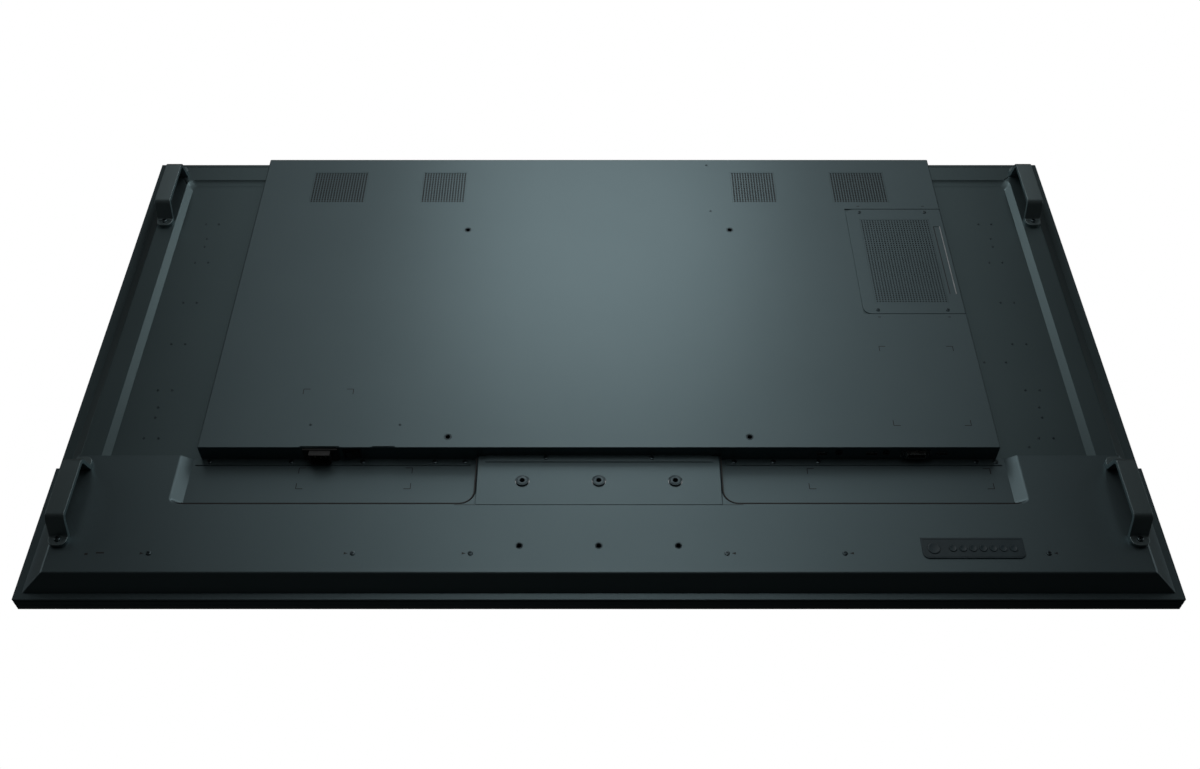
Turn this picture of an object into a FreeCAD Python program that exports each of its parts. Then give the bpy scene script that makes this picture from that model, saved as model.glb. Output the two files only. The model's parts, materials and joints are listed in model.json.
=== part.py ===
import FreeCAD, Part
import math
import os
import re

import Sketcher

# A 65-inch signage display. Every piece is modelled lying on its screen: X runs across the back, Y runs
# up the display from its bottom edge, and Z runs rearwards from the front face. UPRIGHT then stands the
# display up, its screen towards -Y, with the origin at the centre of the wall mount's bolt pattern.
# Left and right are as seen from behind.

SIZES = {
    # whole display
    "display_width": 1460, "display_height": 837,
    # clearances: between faces that nearly touch, round pieces in holes, and round the ports
    "hairline": 0.1, "clearance": 0.2, "air_gap": 0.3, "port_fit": 0.3,
    # front: bezel rails, panel, light sheets
    "bezel_depth": 9.6, "bezel_wall": 1.6, "lip_depth": 1.2, "lip_width": 12,
    "panel_front": 1.4, "panel_back": 4.4, "panel_inset": 6,
    "sheets_front": 5.0, "sheets_back": 6.2, "sheets_inset": 19,
    "diffuser_front": 6.6, "diffuser_back": 8.6,
    "frame_front": 4.7, "frame_back": 10.4, "frame_inset": 1.9, "frame_width": 16,
    "reflector_front": 33.6, "reflector_back": 34.2, "reflector_inset": 80,
    "bar_front": 31.8, "bar_back": 33.4, "bar_width": 14, "bar_pitch": 86, "bar_low": 110, "bar_half": 640,
    # rear pan of pressed steel
    "pan_front": 10.6, "ledge_back": 16, "rim_back": 43, "floor_back": 36, "pan_skin": 1.5, "rim_wall": 2,
    "ledge_width": 13, "shoulder": 37, "recess_side": 65, "recess_top": 69, "recess_low": 58,
    "recess_slope": 9, "recess_radius": 18, "bead_back": 18.2, "bead_width": 3,
    # lower cover
    "cover_top": 202, "cover_front": 19.4, "cover_ledge": 24, "cover_back": 53, "skin": 1.6,
    "foot_side": 720, "foot_low": 8.5, "crest_side": 691, "crest_low": 20.5,
    "bay_inner": 161, "bay_outer": 555, "bay_low": 124.5, "bay_floor": 44, "bay_slope": 15,
    "bay_radius": 20, "bay_outer_radius": 9,
    # electronics cover and what shows through it
    "box_side": 529.3, "box_low": 201, "box_top": 784, "box_back": 72, "sheet": 1.2,
    "wall_low": 202.2, "notch_depth": 2,
    "vent_low": 680, "vent_top": 753, "vent_outer_near": 366, "vent_outer_far": 452.5,
    "vent_inner_near": 209, "vent_inner_far": 279, "vent_pitch": 4, "vent_hole": 2.5, "vent_gap": 0.2,
    "vent_sheet": 1,
    # option slot
    "slot_left": 382, "slot_low": 443, "slot_top": 665, "slot_gap": 1, "slot_radius": 12, "flap_front": 46.4,
    "slot_hole_inset": 7, "slot_head": 3, "slot_rise": 0.9,
    "grille_left": 401.2, "grille_right": 507.8, "grille_low": 463.7, "grille_top": 642.3, "grille_pitch": 4.2,
    "pull_left": 512, "pull_right": 523, "pull_low": 482, "pull_top": 626, "pull_depth": 0.6,
    "tray_left": 392, "tray_right": 524, "tray_low": 457, "tray_top": 651, "tray_front": 42,
    "tray_flange": 22, "tray_margin": 2, "tray_back": 70.5,
    "connector_depth": 7, "connector_base": 2, "connector_low": 520, "connector_top": 590, "connector_end": 3,
    "connector_front": 50, "connector_rear": 58, "connector_wall": 2.6,
    # mounts
    "mount_pitch": 400, "mount_thread": 3, "mount_nut": 5, "mount_nut_depth": 12,
    "rail_width": 32, "rail_sheet": 2, "rail_low": 210, "rail_top": 756, "rail_back": 70.6,
    "stand_pitch": 100, "stand_upper": 160.3, "stand_lower": 60.3, "boss_radius": 8.4, "boss_back": 55, "boss_gap": 1,
    "seam": 0.8,
    "bridge_low": 122.9, "bridge_side": 159.2, "bracket_side": 150, "bracket_low": 45, "bracket_top": 186,
    "bracket_back": 51.2, "bracket_step": 2, "nut_front": 44, "stand_nut": 4.5,
    # port panels along the bottom of the electronics box
    "panel_side": 527.9, "panel_split": 155.5, "flange_low": 192, "flange_in": 170, "flange_out": 536,
    "centre_half": 150, "centre_flange_low": 190.8, "panel_gap": 0.5,
    # signal sockets
    "port_level": 57.5, "socket_front": 201.2, "socket_back": 214, "socket_floor": 210, "socket_wall": 0.5,
    "tongue_front": 202.7, "tongue_inset": 1.5,
    "usb_half": 6.5, "usb_rise": 2.9, "usb_tongue": 0.9,
    "hdmi_half": 7.5, "hdmi_rise": 2.8, "hdmi_tongue": 0.8,
    "jack_lift": 1.5, "jack_radius": 4.5, "jack_bore": 1.8, "jack_front": 200.8, "jack_floor": 212,
    "dvi_half": 12.5, "dvi_rise": 4.3, "dvi_wall": 0.8, "dvi_front": 196.7, "dvi_floor": 203.7,
    "dvi_flange_half": 20, "dvi_flange_rise": 6.8, "dvi_flange_front": 201,
    "nut_offset": 16.6, "nut_radius": 2.6, "nut_bore": 1.3, "jack_nut_front": 197, "nut_floor": 200.2,
    # power inlet and switch
    "inlet_middle": -368, "inlet_half": 13.8, "inlet_wall": 1.7, "inlet_face": 191, "inlet_back": 214,
    "inlet_cavity": 209, "inlet_flange_half": 23, "inlet_flange_face": 199.2, "inlet_front": 47.5,
    "inlet_rear": 67.5, "inlet_chamfer": 4, "inlet_margin": 1,
    "pin_face": 195.6, "pin_pitch": 7, "pin_half_width": 1, "pin_half_height": 2,
    "live_rise": 1.5, "earth_rise": -2.5,
    "switch_middle": -327, "switch_face": 200.6, "switch_half": 10.2, "switch_hole": 9.2,
    "switch_front": 50.8, "switch_rear": 64.2, "switch_lip": 1.3, "switch_wall": 1.2, "switch_floor": 2,
    "rocker_tilt": 8, "rocker_gap": 0.3, "rocker_half": 8, "rocker_rise": 5.3, "rocker_dip": 4.2,
    "rocker_foot_half": 5.5, "rocker_foot": 3,
    "pivot_depth": 4, "pivot_radius": 1.2, "pivot_length": 0.6, "pivot_fit": 0.15,
    # boards and loudspeakers
    "board_near": 250, "board_far": 505, "board_low": 216, "board_top": 425,
    "board_rise": 5.5, "board_sheet": 1.6,
    "speaker_near": 585, "speaker_far": 645, "speaker_low": 85, "speaker_top": 170, "speaker_depth": 14,
    # handles
    "handle_length": 139.5, "handle_height": 34, "handle_sheet": 5.5, "handle_width": 24,
    "handle_middle": 680, "handle_foot": 14, "handle_lean": 10, "handle_inner": 4,
    "handle_low": 57, "handle_high": 655,
    "handle_screw": 9.5, "bend_radius": 5, "foot_radius": 10,
    # screws
    "screw_row": 49, "screw_head": 3.4, "screw_rise": 1.2, "screw_shank": 1.6, "screw_reach": 5,
    "screw_fit": 0.2, "flange_row": 197.3, "handle_head": 4.2, "handle_rise": 2.2, "handle_shank": 2.3,
    "handle_reach": 11,
    # keypad
    "keys_left": 405, "keys_right": 534, "keys_low": 41, "keys_top": 71.5, "keys_back": 54.5, "keys_step": 4,
    "keys_front": 51.6, "keys_level": 55.3, "keys_radius": 8,
    "power_middle": 420, "power_radius": 8, "key_first": 443.7, "key_pitch": 12.7, "key_radius": 4.8,
    "key_gap": 0.3, "key_back": 55.4, "key_front": 50.5, "key_flange": 0.8, "key_lip": 0.9,
    "board_front": 46.2, "board_back": 47.8, "board_margin": 1, "dome_back": 49.4, "dome_radius": 3,
}

CHIN_SCREWS = (-563, -308, -160.5, 160.5, 308, 563)
LEFT_PANEL_SCREWS = (-518, -409, -314, -218, -178)
RIGHT_PANEL_SCREWS = (180, 232, 292, 502, 528)
CENTRE_PANEL_SCREWS = (-70, 70)
STAND_COLUMNS = (-1, 0, 1)
SIDES = {"left": -1, "right": 1}
KEYS = range(7)
LIGHT_BARS = range(8)
OPTION_COLUMNS = (403, 503.5)
FINGER_NOTCHES = ((-394, -342), (-299, -268.5))
JACKS = (318, 381)
HDMI_PORTS = (362, 455)
USB_PORT = 296
DVI_PORT = 420
# largest components of each board: left, right, low, top and height
MAIN_COMPONENTS = ((330, 372, 300, 342, 12), (300, 318, 232, 262, 6), (420, 480, 360, 372, 5))
POWER_COMPONENTS = ((-480, -430, 300, 350, 22), (-400, -360, 240, 300, 20), (-330, -290, 330, 390, 18))

UPRIGHT = FreeCAD.Placement(
    FreeCAD.Vector(0, -SIZES["box_back"], -SIZES["display_height"] / 2),
    FreeCAD.Rotation(FreeCAD.Vector(0, 1, 1), 180),
)

doc = FreeCAD.newDocument("signage_display")
sub_parts = []


# ---------------------------------------------------------------- sheet and helpers

sheet = doc.addObject("Spreadsheet::Sheet", "Sizes")
for row, (alias, value) in enumerate(SIZES.items(), start=1):
    sheet.set(f"A{row}", alias)
    sheet.set(f"B{row}", str(value))
    sheet.setAlias(f"B{row}", alias)
doc.recompute()


def sized(text):
    """Writes the sheet's name before each of its aliases in an expression."""
    return re.sub(r"[a-z_]+", lambda word: "Sizes." + word[0] if word[0] in SIZES else word[0], str(text))


def keep(item, name):
    """Names a finished sub-part and stands it up."""
    item.Label = name
    item.Placement = UPRIGHT
    sub_parts.append(item)
    return item


def new_body(name):
    """An empty body for one sub-part."""
    return keep(doc.addObject("PartDesign::Body", name), name)


def rectangle(left, right, low, high):
    """The four corners of a rectangle, as expressions."""
    return [(left, low), (right, low), (right, high), (left, high)]


def both_sides(near, far, low, high):
    """A rectangle on the right and its twin on the left."""
    return [rectangle(near, far, low, high), rectangle(f"-({far})", f"-({near})", low, high)]


def outline(body, level, loops, role="XY_Plane", circles=()):
    """A sketch at a level along an origin plane's normal: loops of corners, and circles (x, y, radius)."""
    sketch = body.newObject("Sketcher::SketchObject", "Outline")
    plane = next(item for item in body.Origin.OriginFeatures if item.Role == role)
    sketch.AttachmentSupport = [(plane, "")]
    sketch.MapMode = "FlatFace"
    sketch.setExpression("AttachmentOffset.Base.z", sized(level))

    def place(element, point, corner):
        for axis, value in zip("XY", corner):
            index = sketch.addConstraint(Sketcher.Constraint("Distance" + axis, -1, 1, element, point, 1.0))
            sketch.setExpression(f"Constraints[{index}]", sized(value))

    for corners in loops:
        first = sketch.GeometryCount
        turns = [2 * math.pi * step / len(corners) for step in range(len(corners) + 1)]
        points = [FreeCAD.Vector(math.cos(turn), math.sin(turn), 0) for turn in turns]
        for start, end in zip(points, points[1:]):
            sketch.addGeometry(Part.LineSegment(start, end))
        for step, corner in enumerate(corners):
            following = first + (step + 1) % len(corners)
            sketch.addConstraint(Sketcher.Constraint("Coincident", first + step, 2, following, 1))
            place(first + step, 1, corner)
    for across, up, radius in circles:
        element = sketch.addGeometry(Part.Circle(FreeCAD.Vector(1, 1, 0), FreeCAD.Vector(0, 0, 1), 1))
        index = sketch.addConstraint(Sketcher.Constraint("Radius", element, 1.0))
        sketch.setExpression(f"Constraints[{index}]", sized(radius))
        place(element, 3, (across, up))
    return sketch


def pad(body, low, high, *loops, role="XY_Plane", circles=()):
    """Adds material between two levels."""
    sketch = outline(body, low, loops, role, circles)
    feature = body.newObject("PartDesign::Pad", "Pad")
    feature.Profile = sketch
    feature.setExpression("Length", sized(f"({high}) - ({low})"))
    return feature


def pocket(body, low, high, *loops, role="XY_Plane", circles=()):
    """Cuts from the high level down to the low one."""
    sketch = outline(body, high, loops, role, circles)
    feature = body.newObject("PartDesign::Pocket", "Pocket")
    feature.Profile = sketch
    feature.setExpression("Length", sized(f"({high}) - ({low})"))
    return feature


def loft(body, kind, low, low_loop, high, high_loop):
    """AdditiveLoft or SubtractiveLoft with flat sides, from one loop to another."""
    sections = [outline(body, low, [low_loop]), outline(body, high, [high_loop])]
    feature = body.newObject("PartDesign::" + kind, kind)
    feature.Profile = sections[0]
    feature.Sections = sections[1:]
    feature.Ruled = True
    return feature


def fillet(body, radius, wanted):
    """Rounds the edges of the body's tip that the wanted function picks."""
    doc.recompute()
    base = body.Tip
    picked = [f"Edge{n}" for n, edge in enumerate(base.Shape.Edges, start=1) if wanted(edge)]
    feature = body.newObject("PartDesign::Fillet", "Fillet")
    feature.Base = (base, picked)
    feature.setExpression("Radius", sized(radius))
    return feature


def rising_near(*corners, reach=1.0):
    """Picks edges that leave the XY plane with their middle within reach of a corner (x, y)."""
    def wanted(edge):
        start, end = edge.Vertexes[0].Point, edge.Vertexes[-1].Point
        middle = (start + end) / 2
        if abs(end.z - start.z) < 0.3:
            return False
        return any(math.hypot(middle.x - x, middle.y - y) < reach for x, y in corners)
    return wanted


def block(x, y, z):
    """A box between the low and high expressions of each axis."""
    item = doc.addObject("Part::Box", "Block")
    for size, axis, (low, high) in (("Length", "x", x), ("Width", "y", y), ("Height", "z", z)):
        item.setExpression(size, sized(f"({high}) - ({low})"))
        item.setExpression(f"Placement.Base.{axis}", sized(low))
    return item


def rod(radius, centre, low, high, along="z"):
    """A cylinder along z at centre (x, y), or along y at centre (x, z), between two levels."""
    item = doc.addObject("Part::Cylinder", "Rod")
    item.setExpression("Radius", sized(radius))
    item.setExpression("Height", sized(f"({high}) - ({low})"))
    if along == "y":
        item.Placement = FreeCAD.Placement(FreeCAD.Vector(), FreeCAD.Rotation(FreeCAD.Vector(1, 0, 0), -90))
        places = {"x": centre[0], "y": low, "z": centre[1]}
    else:
        places = {"x": centre[0], "y": centre[1], "z": low}
    for axis, value in places.items():
        item.setExpression(f"Placement.Base.{axis}", sized(value))
    return item


def fuse(*items):
    """One solid of several that touch."""
    item = doc.addObject("Part::MultiFuse", "Fuse")
    item.Shapes = list(items)
    return item


def cut(base, *tools):
    """The base less each tool."""
    item = doc.addObject("Part::Cut", "Cut")
    item.Base = base
    item.Tool = tools[0] if len(tools) == 1 else fuse(*tools)
    return item


def group(name, items):
    """Several like pieces kept as one sub-part."""
    item = doc.addObject("Part::Compound", name)
    item.Links = list(items)
    return keep(item, name)


def screw(centre, seat, head, rise, shank, reach):
    """A pan-head screw on a seat: its head stands up by rise and its shank goes down by reach."""
    top = rod(head, centre, seat, f"({seat}) + {rise}")
    stem = rod(shank, centre, f"({seat}) - {reach}", seat)
    return fuse(top, stem)


# ---------------------------------------------------------------- front of the display

def bezel_rail(side):
    """An L-section rail with mitred ends: a wall round the edge and a lip over the panel's border."""
    half, tall = "display_width / 2", "display_height"

    def mitred(depth):
        corners = {
            "bottom": [(f"-{half}", "0"), (half, "0"), (f"{half} - {depth}", depth),
                       (f"{depth} - {half}", depth)],
            "top": [(half, tall), (f"-{half}", tall), (f"{depth} - {half}", f"{tall} - {depth}"),
                    (f"{half} - {depth}", f"{tall} - {depth}")],
            "left": [(f"-{half}", tall), (f"-{half}", "0"), (f"{depth} - {half}", depth),
                     (f"{depth} - {half}", f"{tall} - {depth}")],
            "right": [(half, "0"), (half, tall), (f"{half} - {depth}", f"{tall} - {depth}"),
                      (f"{half} - {depth}", depth)],
        }
        return corners[side]

    body = new_body(f"bezel_rail_{side}")
    pad(body, "0", "lip_depth", mitred("lip_width"))
    pad(body, "0", "bezel_depth", mitred("bezel_wall"))


def inset_sheet(name, inset, front, back):
    """A flat sheet held the same distance inside all four edges."""
    body = new_body(name)
    side = f"(display_width / 2 - {inset})"
    pad(body, front, back, rectangle(f"-{side}", side, inset, f"display_height - {inset}"))


def middle_frame():
    """The moulded ring that parts the panel from the light sheets."""
    body = new_body("middle_frame")
    rings = []
    for edge in ("frame_inset", "(frame_inset + frame_width)"):
        side = f"(display_width / 2 - {edge})"
        rings.append(rectangle(f"-{side}", side, edge, f"display_height - {edge}"))
    pad(body, "frame_front", "frame_back", *rings)


def led_bars():
    """Level rows of light bars on the reflector."""
    bars = []
    for row in LIGHT_BARS:
        low = f"bar_low + {row} * bar_pitch"
        bars.append(block(("-bar_half", "bar_half"), (low, f"{low} + bar_width"), ("bar_front", "bar_back")))
    group("led_bars", bars)


# ---------------------------------------------------------------- rear pan and lower cover

def rear_pan():
    """Pressed pan: a ledge round the edge, a sloped shoulder, a flat rim, and a sunk floor."""
    body = new_body("rear_pan")
    half = "display_width / 2"

    def inset(side, low=None, top=None):
        return rectangle(f"{side} - {half}", f"{half} - ({side})", low or side,
                         f"display_height - ({top or side})")

    pad(body, "pan_front", "ledge_back", inset("0"))
    loft(body, "AdditiveLoft", "ledge_back", inset("ledge_width"), "rim_back", inset("shoulder"))
    pocket(body, "pan_front", "ledge_back - pan_skin", inset("rim_wall"))
    inner_foot, inner_crest = "ledge_width + pan_skin", "shoulder + pan_skin * 0.5"
    loft(body, "SubtractiveLoft", "ledge_back - pan_skin", inset(inner_foot),
         "rim_back - pan_skin", inset(inner_crest))

    def recess(change):
        return inset(*(f"{edge} + {change}" for edge in ("recess_side", "recess_low", "recess_top")))

    loft(body, "AdditiveLoft", "floor_back - pan_skin", recess("recess_slope - pan_skin"),
         "rim_back", recess("-pan_skin"))
    loft(body, "SubtractiveLoft", "floor_back", recess("recess_slope"), "rim_back", recess("0"))
    pad(body, "ledge_back", "bead_back",
        [(f"-{half}", "0"), (half, "0"), (half, "cover_top"), (f"{half} - bead_width", "cover_top"),
         (f"{half} - bead_width", "bead_width"), (f"bead_width - {half}", "bead_width"),
         (f"bead_width - {half}", "cover_top"), (f"-{half}", "cover_top")])
    middle_side = SIZES["display_width"] / 2 - SIZES["recess_side"] - SIZES["recess_slope"] / 2
    middle_top = SIZES["display_height"] - SIZES["recess_top"] - SIZES["recess_slope"] / 2
    corners = ((middle_side, middle_top), (-middle_side, middle_top))
    fillet(body, "recess_radius", rising_near(*corners, reach=0.5))
    pocket(body, "rim_back - pan_skin - 1", "rim_back", circles=[
        (f"{sign} * handle_middle", f"handle_high + {place}", "handle_shank + screw_fit")
        for sign in SIDES.values() for place in ("handle_screw", "handle_length - handle_screw")
    ])


def lower_cover():
    """Cover over the bottom of the pan, with sloped edges and two sunk cable bays."""
    body = new_body("lower_cover")
    half = "display_width / 2"
    pad(body, "cover_front", "cover_ledge", rectangle(f"-{half}", half, "0", "cover_top"))
    loft(body, "AdditiveLoft", "cover_ledge", rectangle("-foot_side", "foot_side", "foot_low", "cover_top"),
         "cover_back", rectangle("-crest_side", "crest_side", "crest_low", "cover_top"))
    pocket(body, "cover_front", "cover_ledge - skin",
           rectangle(f"rim_wall - {half}", f"{half} - rim_wall", "rim_wall", "cover_top - skin"))
    loft(body, "SubtractiveLoft",
         "cover_ledge - skin",
         rectangle("skin - foot_side", "foot_side - skin", "foot_low + skin", "cover_top - skin"),
         "cover_back - skin",
         rectangle("skin - crest_side", "crest_side - skin", "crest_low + skin", "cover_top - skin"))
    # the top wall stops just above the pan's floor and rim
    foot = "(foot_side - skin - clearance)"
    pocket(body, "cover_front", "floor_back + air_gap",
           rectangle(f"-{foot}", foot, "cover_top - skin", "cover_top"))
    pocket(body, "floor_back", "rim_back + air_gap",
           *both_sides(f"{half} - recess_side - recess_slope - 1", foot, "cover_top - skin", "cover_top"))
    # cable bays, open towards the electronics box
    for sign in SIDES.values():
        def bay(grow):
            near, far, low = f"{sign} * (bay_inner - {grow})", f"(bay_outer + {grow})", f"bay_low - {grow}"
            ends = (f"{sign} * {far}", f"{sign} * ({far} - bay_slope)")
            return [[(near, low), (end, low), (end, "cover_top"), (near, "cover_top")] for end in ends]
        top, bottom = bay("skin")
        loft(body, "AdditiveLoft", "bay_floor - skin", bottom, "cover_back", top)
        top, bottom = bay("0")
        loft(body, "SubtractiveLoft", "bay_floor", bottom, "cover_back", top)
    inner, outer = SIZES["bay_inner"], SIZES["bay_outer"] - SIZES["bay_slope"] / 2
    low = SIZES["bay_low"]
    fillet(body, "bay_radius", rising_near((inner, low), (-inner, low)))
    fillet(body, "bay_outer_radius", rising_near((outer, low), (-outer, low)))
    # window for the bridge plate, hole for the keypad, and screw holes
    pocket(body, "cover_back - skin", "cover_back",
           rectangle("-bridge_side - seam", "bridge_side + seam", "bridge_low - seam", "cover_top"))
    pocket(body, "cover_back - skin", "cover_back",
           keypad_outline("keys_step"))
    pocket(body, "cover_back - skin", "cover_back", circles=[
        (x, "screw_row", "screw_shank + screw_fit") for x in CHIN_SCREWS])
    pocket(body, "cover_back - skin", "cover_back", circles=[
        (f"{column} * stand_pitch", "stand_lower", "stand_nut + clearance") for column in STAND_COLUMNS])
    pocket(body, "cover_back - skin", "cover_back", circles=[
        (f"{sign} * handle_middle", f"handle_low + {place}", "handle_shank + screw_fit")
        for sign in SIDES.values() for place in ("handle_screw", "handle_length - handle_screw")])
    pocket(body, "bay_floor - skin", "bay_floor", circles=[
        (x, "flange_row", "screw_shank + screw_fit") for x in LEFT_PANEL_SCREWS + RIGHT_PANEL_SCREWS])


# ---------------------------------------------------------------- electronics cover and vents

def electronics_cover():
    """Folded sheet cover over the electronics, open at the bottom where the port panels close it."""
    body = new_body("electronics_cover")
    base = "(floor_back + clearance)"
    pad(body, base, "box_back", rectangle("-box_side", "box_side", "wall_low", "box_top"))
    pad(body, "box_back - sheet", "box_back", rectangle("-box_side", "box_side", "box_low", "wall_low"))
    pocket(body, base, "box_back - sheet",
           rectangle("sheet - box_side", "box_side - sheet", "wall_low", "box_top - sheet"))
    # the top end steps up over the pan's rim
    rim_foot, rim_level = "display_height - recess_top - recess_slope - air_gap", "rim_back + clearance"
    pocket(body, "-box_side", "box_side",
           [(rim_foot, "floor_back"), ("box_top", "floor_back"), ("box_top", rim_level),
            (f"{rim_foot} + recess_slope", rim_level), (rim_foot, base)], role="YZ_Plane")
    vents = both_sides("vent_outer_near", "vent_outer_far", "vent_low", "vent_top")
    vents += both_sides("vent_inner_near", "vent_inner_far", "vent_low", "vent_top")
    pocket(body, "box_back - sheet", "box_back", *vents)
    pocket(body, "flap_front - slot_gap", "box_back",
           rectangle("slot_left - slot_gap", "box_side", "slot_low - slot_gap", "slot_top + slot_gap"))
    middle = "display_height / 2"
    pocket(body, "box_back - sheet", "box_back", circles=[
        (f"{sign} * mount_pitch / 2", f"{middle} + {rise} * mount_pitch / 2", "mount_nut + clearance")
        for sign in (-1, 1) for rise in (-1, 1)])
    pocket(body, "box_back - sheet", "box_back", *(
        rectangle(left, right, "box_low", "box_low + notch_depth") for left, right in FINGER_NOTCHES))


def perforated(name, left, right, low, top, pitch, back):
    """A flat plate with square holes punched on a square pitch."""
    gap, hole, thick = SIZES["vent_gap"], SIZES["vent_hole"], SIZES["vent_sheet"]
    left, right, low, top = left + gap, right - gap, low + gap, top - gap
    columns, rows = int((right - left) // pitch), int((top - low) // pitch)
    first_x = (left + right - (columns - 1) * pitch) / 2
    first_y = (low + top - (rows - 1) * pitch) / 2
    front = back - thick

    def frame(x0, x1, y0, y1):
        corners = [(x0, y0), (x1, y0), (x1, y1), (x0, y1), (x0, y0)]
        return Part.makePolygon([FreeCAD.Vector(x, y, front) for x, y in corners])

    holes = []
    for column in range(columns):
        for row in range(rows):
            x, y = first_x + column * pitch, first_y + row * pitch
            holes.append(frame(x - hole / 2, x + hole / 2, y - hole / 2, y + hole / 2))
    face = Part.makeFace([frame(left, right, low, top)] + holes, "Part::FaceMakerBullseye")
    item = doc.addObject("Part::Feature", name)
    item.Shape = face.extrude(FreeCAD.Vector(0, 0, thick))
    keep(item, name)


def vent_grilles():
    """Four punched fields near the top of the electronics cover."""
    for place in ("outer", "inner"):
        near, far = SIZES[f"vent_{place}_near"], SIZES[f"vent_{place}_far"]
        for side, sign in SIDES.items():
            left, right = sorted((sign * near, sign * far))
            perforated(f"vent_grille_{place}_{side}", left, right, SIZES["vent_low"], SIZES["vent_top"],
                       SIZES["vent_pitch"], SIZES["box_back"] - SIZES["hairline"])


# ---------------------------------------------------------------- option slot

def option_cover():
    """Lift-off cover that wraps the side of the box, with a window for its grille and a pull channel."""
    body = new_body("option_cover")
    whole = rectangle("slot_left", "box_side", "slot_low", "slot_top")
    pad(body, "box_back - sheet", "box_back", whole)
    pad(body, "flap_front", "box_back", rectangle("box_side - sheet", "box_side", "slot_low", "slot_top"))
    corners = [(SIZES["slot_left"], SIZES[edge]) for edge in ("slot_low", "slot_top")]
    fillet(body, "slot_radius", rising_near(*corners))
    pocket(body, "box_back - sheet", "box_back",
           rectangle("grille_left", "grille_right", "grille_low", "grille_top"))
    pocket(body, "box_back - pull_depth", "box_back",
           rectangle("pull_left", "pull_right", "pull_low", "pull_top"))
    pocket(body, "box_back - sheet", "box_back", circles=option_holes())


def option_holes():
    """Places and radius of the four screw holes of the option slot."""
    return [(x, y, "screw_shank + screw_fit") for x in OPTION_COLUMNS
            for y in ("slot_low + slot_hole_inset", "slot_top - slot_hole_inset")]


def option_slot():
    """Grille, captive screws, tray and connector of the option slot."""
    perforated("option_cover_grille", SIZES["grille_left"], SIZES["grille_right"], SIZES["grille_low"],
               SIZES["grille_top"], SIZES["grille_pitch"], SIZES["box_back"] - SIZES["hairline"])
    group("option_cover_screws", [
        screw((x, y), "box_back", "slot_head", "slot_rise", "screw_shank", "screw_reach")
        for x, y, _ in option_holes()])
    tray = new_body("option_bay")
    pad(tray, "tray_back - sheet", "tray_back",
        rectangle("tray_left - tray_flange / 2", "tray_right + tray_margin",
                  "tray_low - tray_flange", "tray_top + tray_flange"))
    pad(tray, "tray_front", "tray_back", rectangle("tray_left", "tray_right", "tray_low", "tray_top"))
    pocket(tray, "tray_front + sheet", "tray_back",
           rectangle("tray_left + sheet", "tray_right - sheet", "tray_low + sheet", "tray_top - sheet"))
    pocket(tray, "tray_back - sheet", "tray_back", circles=option_holes())
    wall, face = "tray_left + sheet", "tray_left + sheet + connector_depth"
    shell = block((wall, face), ("connector_low", "connector_top"), ("connector_front", "connector_rear"))
    mouth = block((f"{wall} + connector_base", face),
                  ("connector_low + connector_end", "connector_top - connector_end"),
                  ("connector_front + connector_wall", "connector_rear - connector_wall"))
    keep(cut(shell, mouth), "option_connector")


# ---------------------------------------------------------------- mounts

def vesa_mount():
    """Two steel channels behind the cover, each with two threaded inserts that come flush with it."""
    middle = "display_height / 2"
    places = [(sign, rise) for sign in (-1, 1) for rise in (-1, 1)]
    centres = {(sign, rise): (f"{sign} * mount_pitch / 2", f"{middle} + {rise} * mount_pitch / 2")
               for sign, rise in places}
    rails = []
    for sign in (-1, 1):
        low, high = f"{sign} * mount_pitch / 2 - rail_width / 2", f"{sign} * mount_pitch / 2 + rail_width / 2"
        front = "floor_back + clearance"
        whole = block((low, high), ("rail_low", "rail_top"), (front, "rail_back"))
        inside = block((f"{low} + rail_sheet", f"{high} - rail_sheet"), ("rail_low", "rail_top"),
                       (front, "rail_back - rail_sheet"))
        holes = [rod("mount_nut + hairline", centres[place], "rail_back - rail_sheet", "rail_back")
                 for place in places if place[0] == sign]
        rails.append(cut(whole, inside, *holes))
    group("vesa_rails", rails)
    inserts = []
    for centre in centres.values():
        span = ("box_back - mount_nut_depth", "box_back")
        inserts.append(cut(rod("mount_nut", centre, *span), rod("mount_thread", centre, *span)))
    group("vesa_inserts", inserts)


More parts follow.
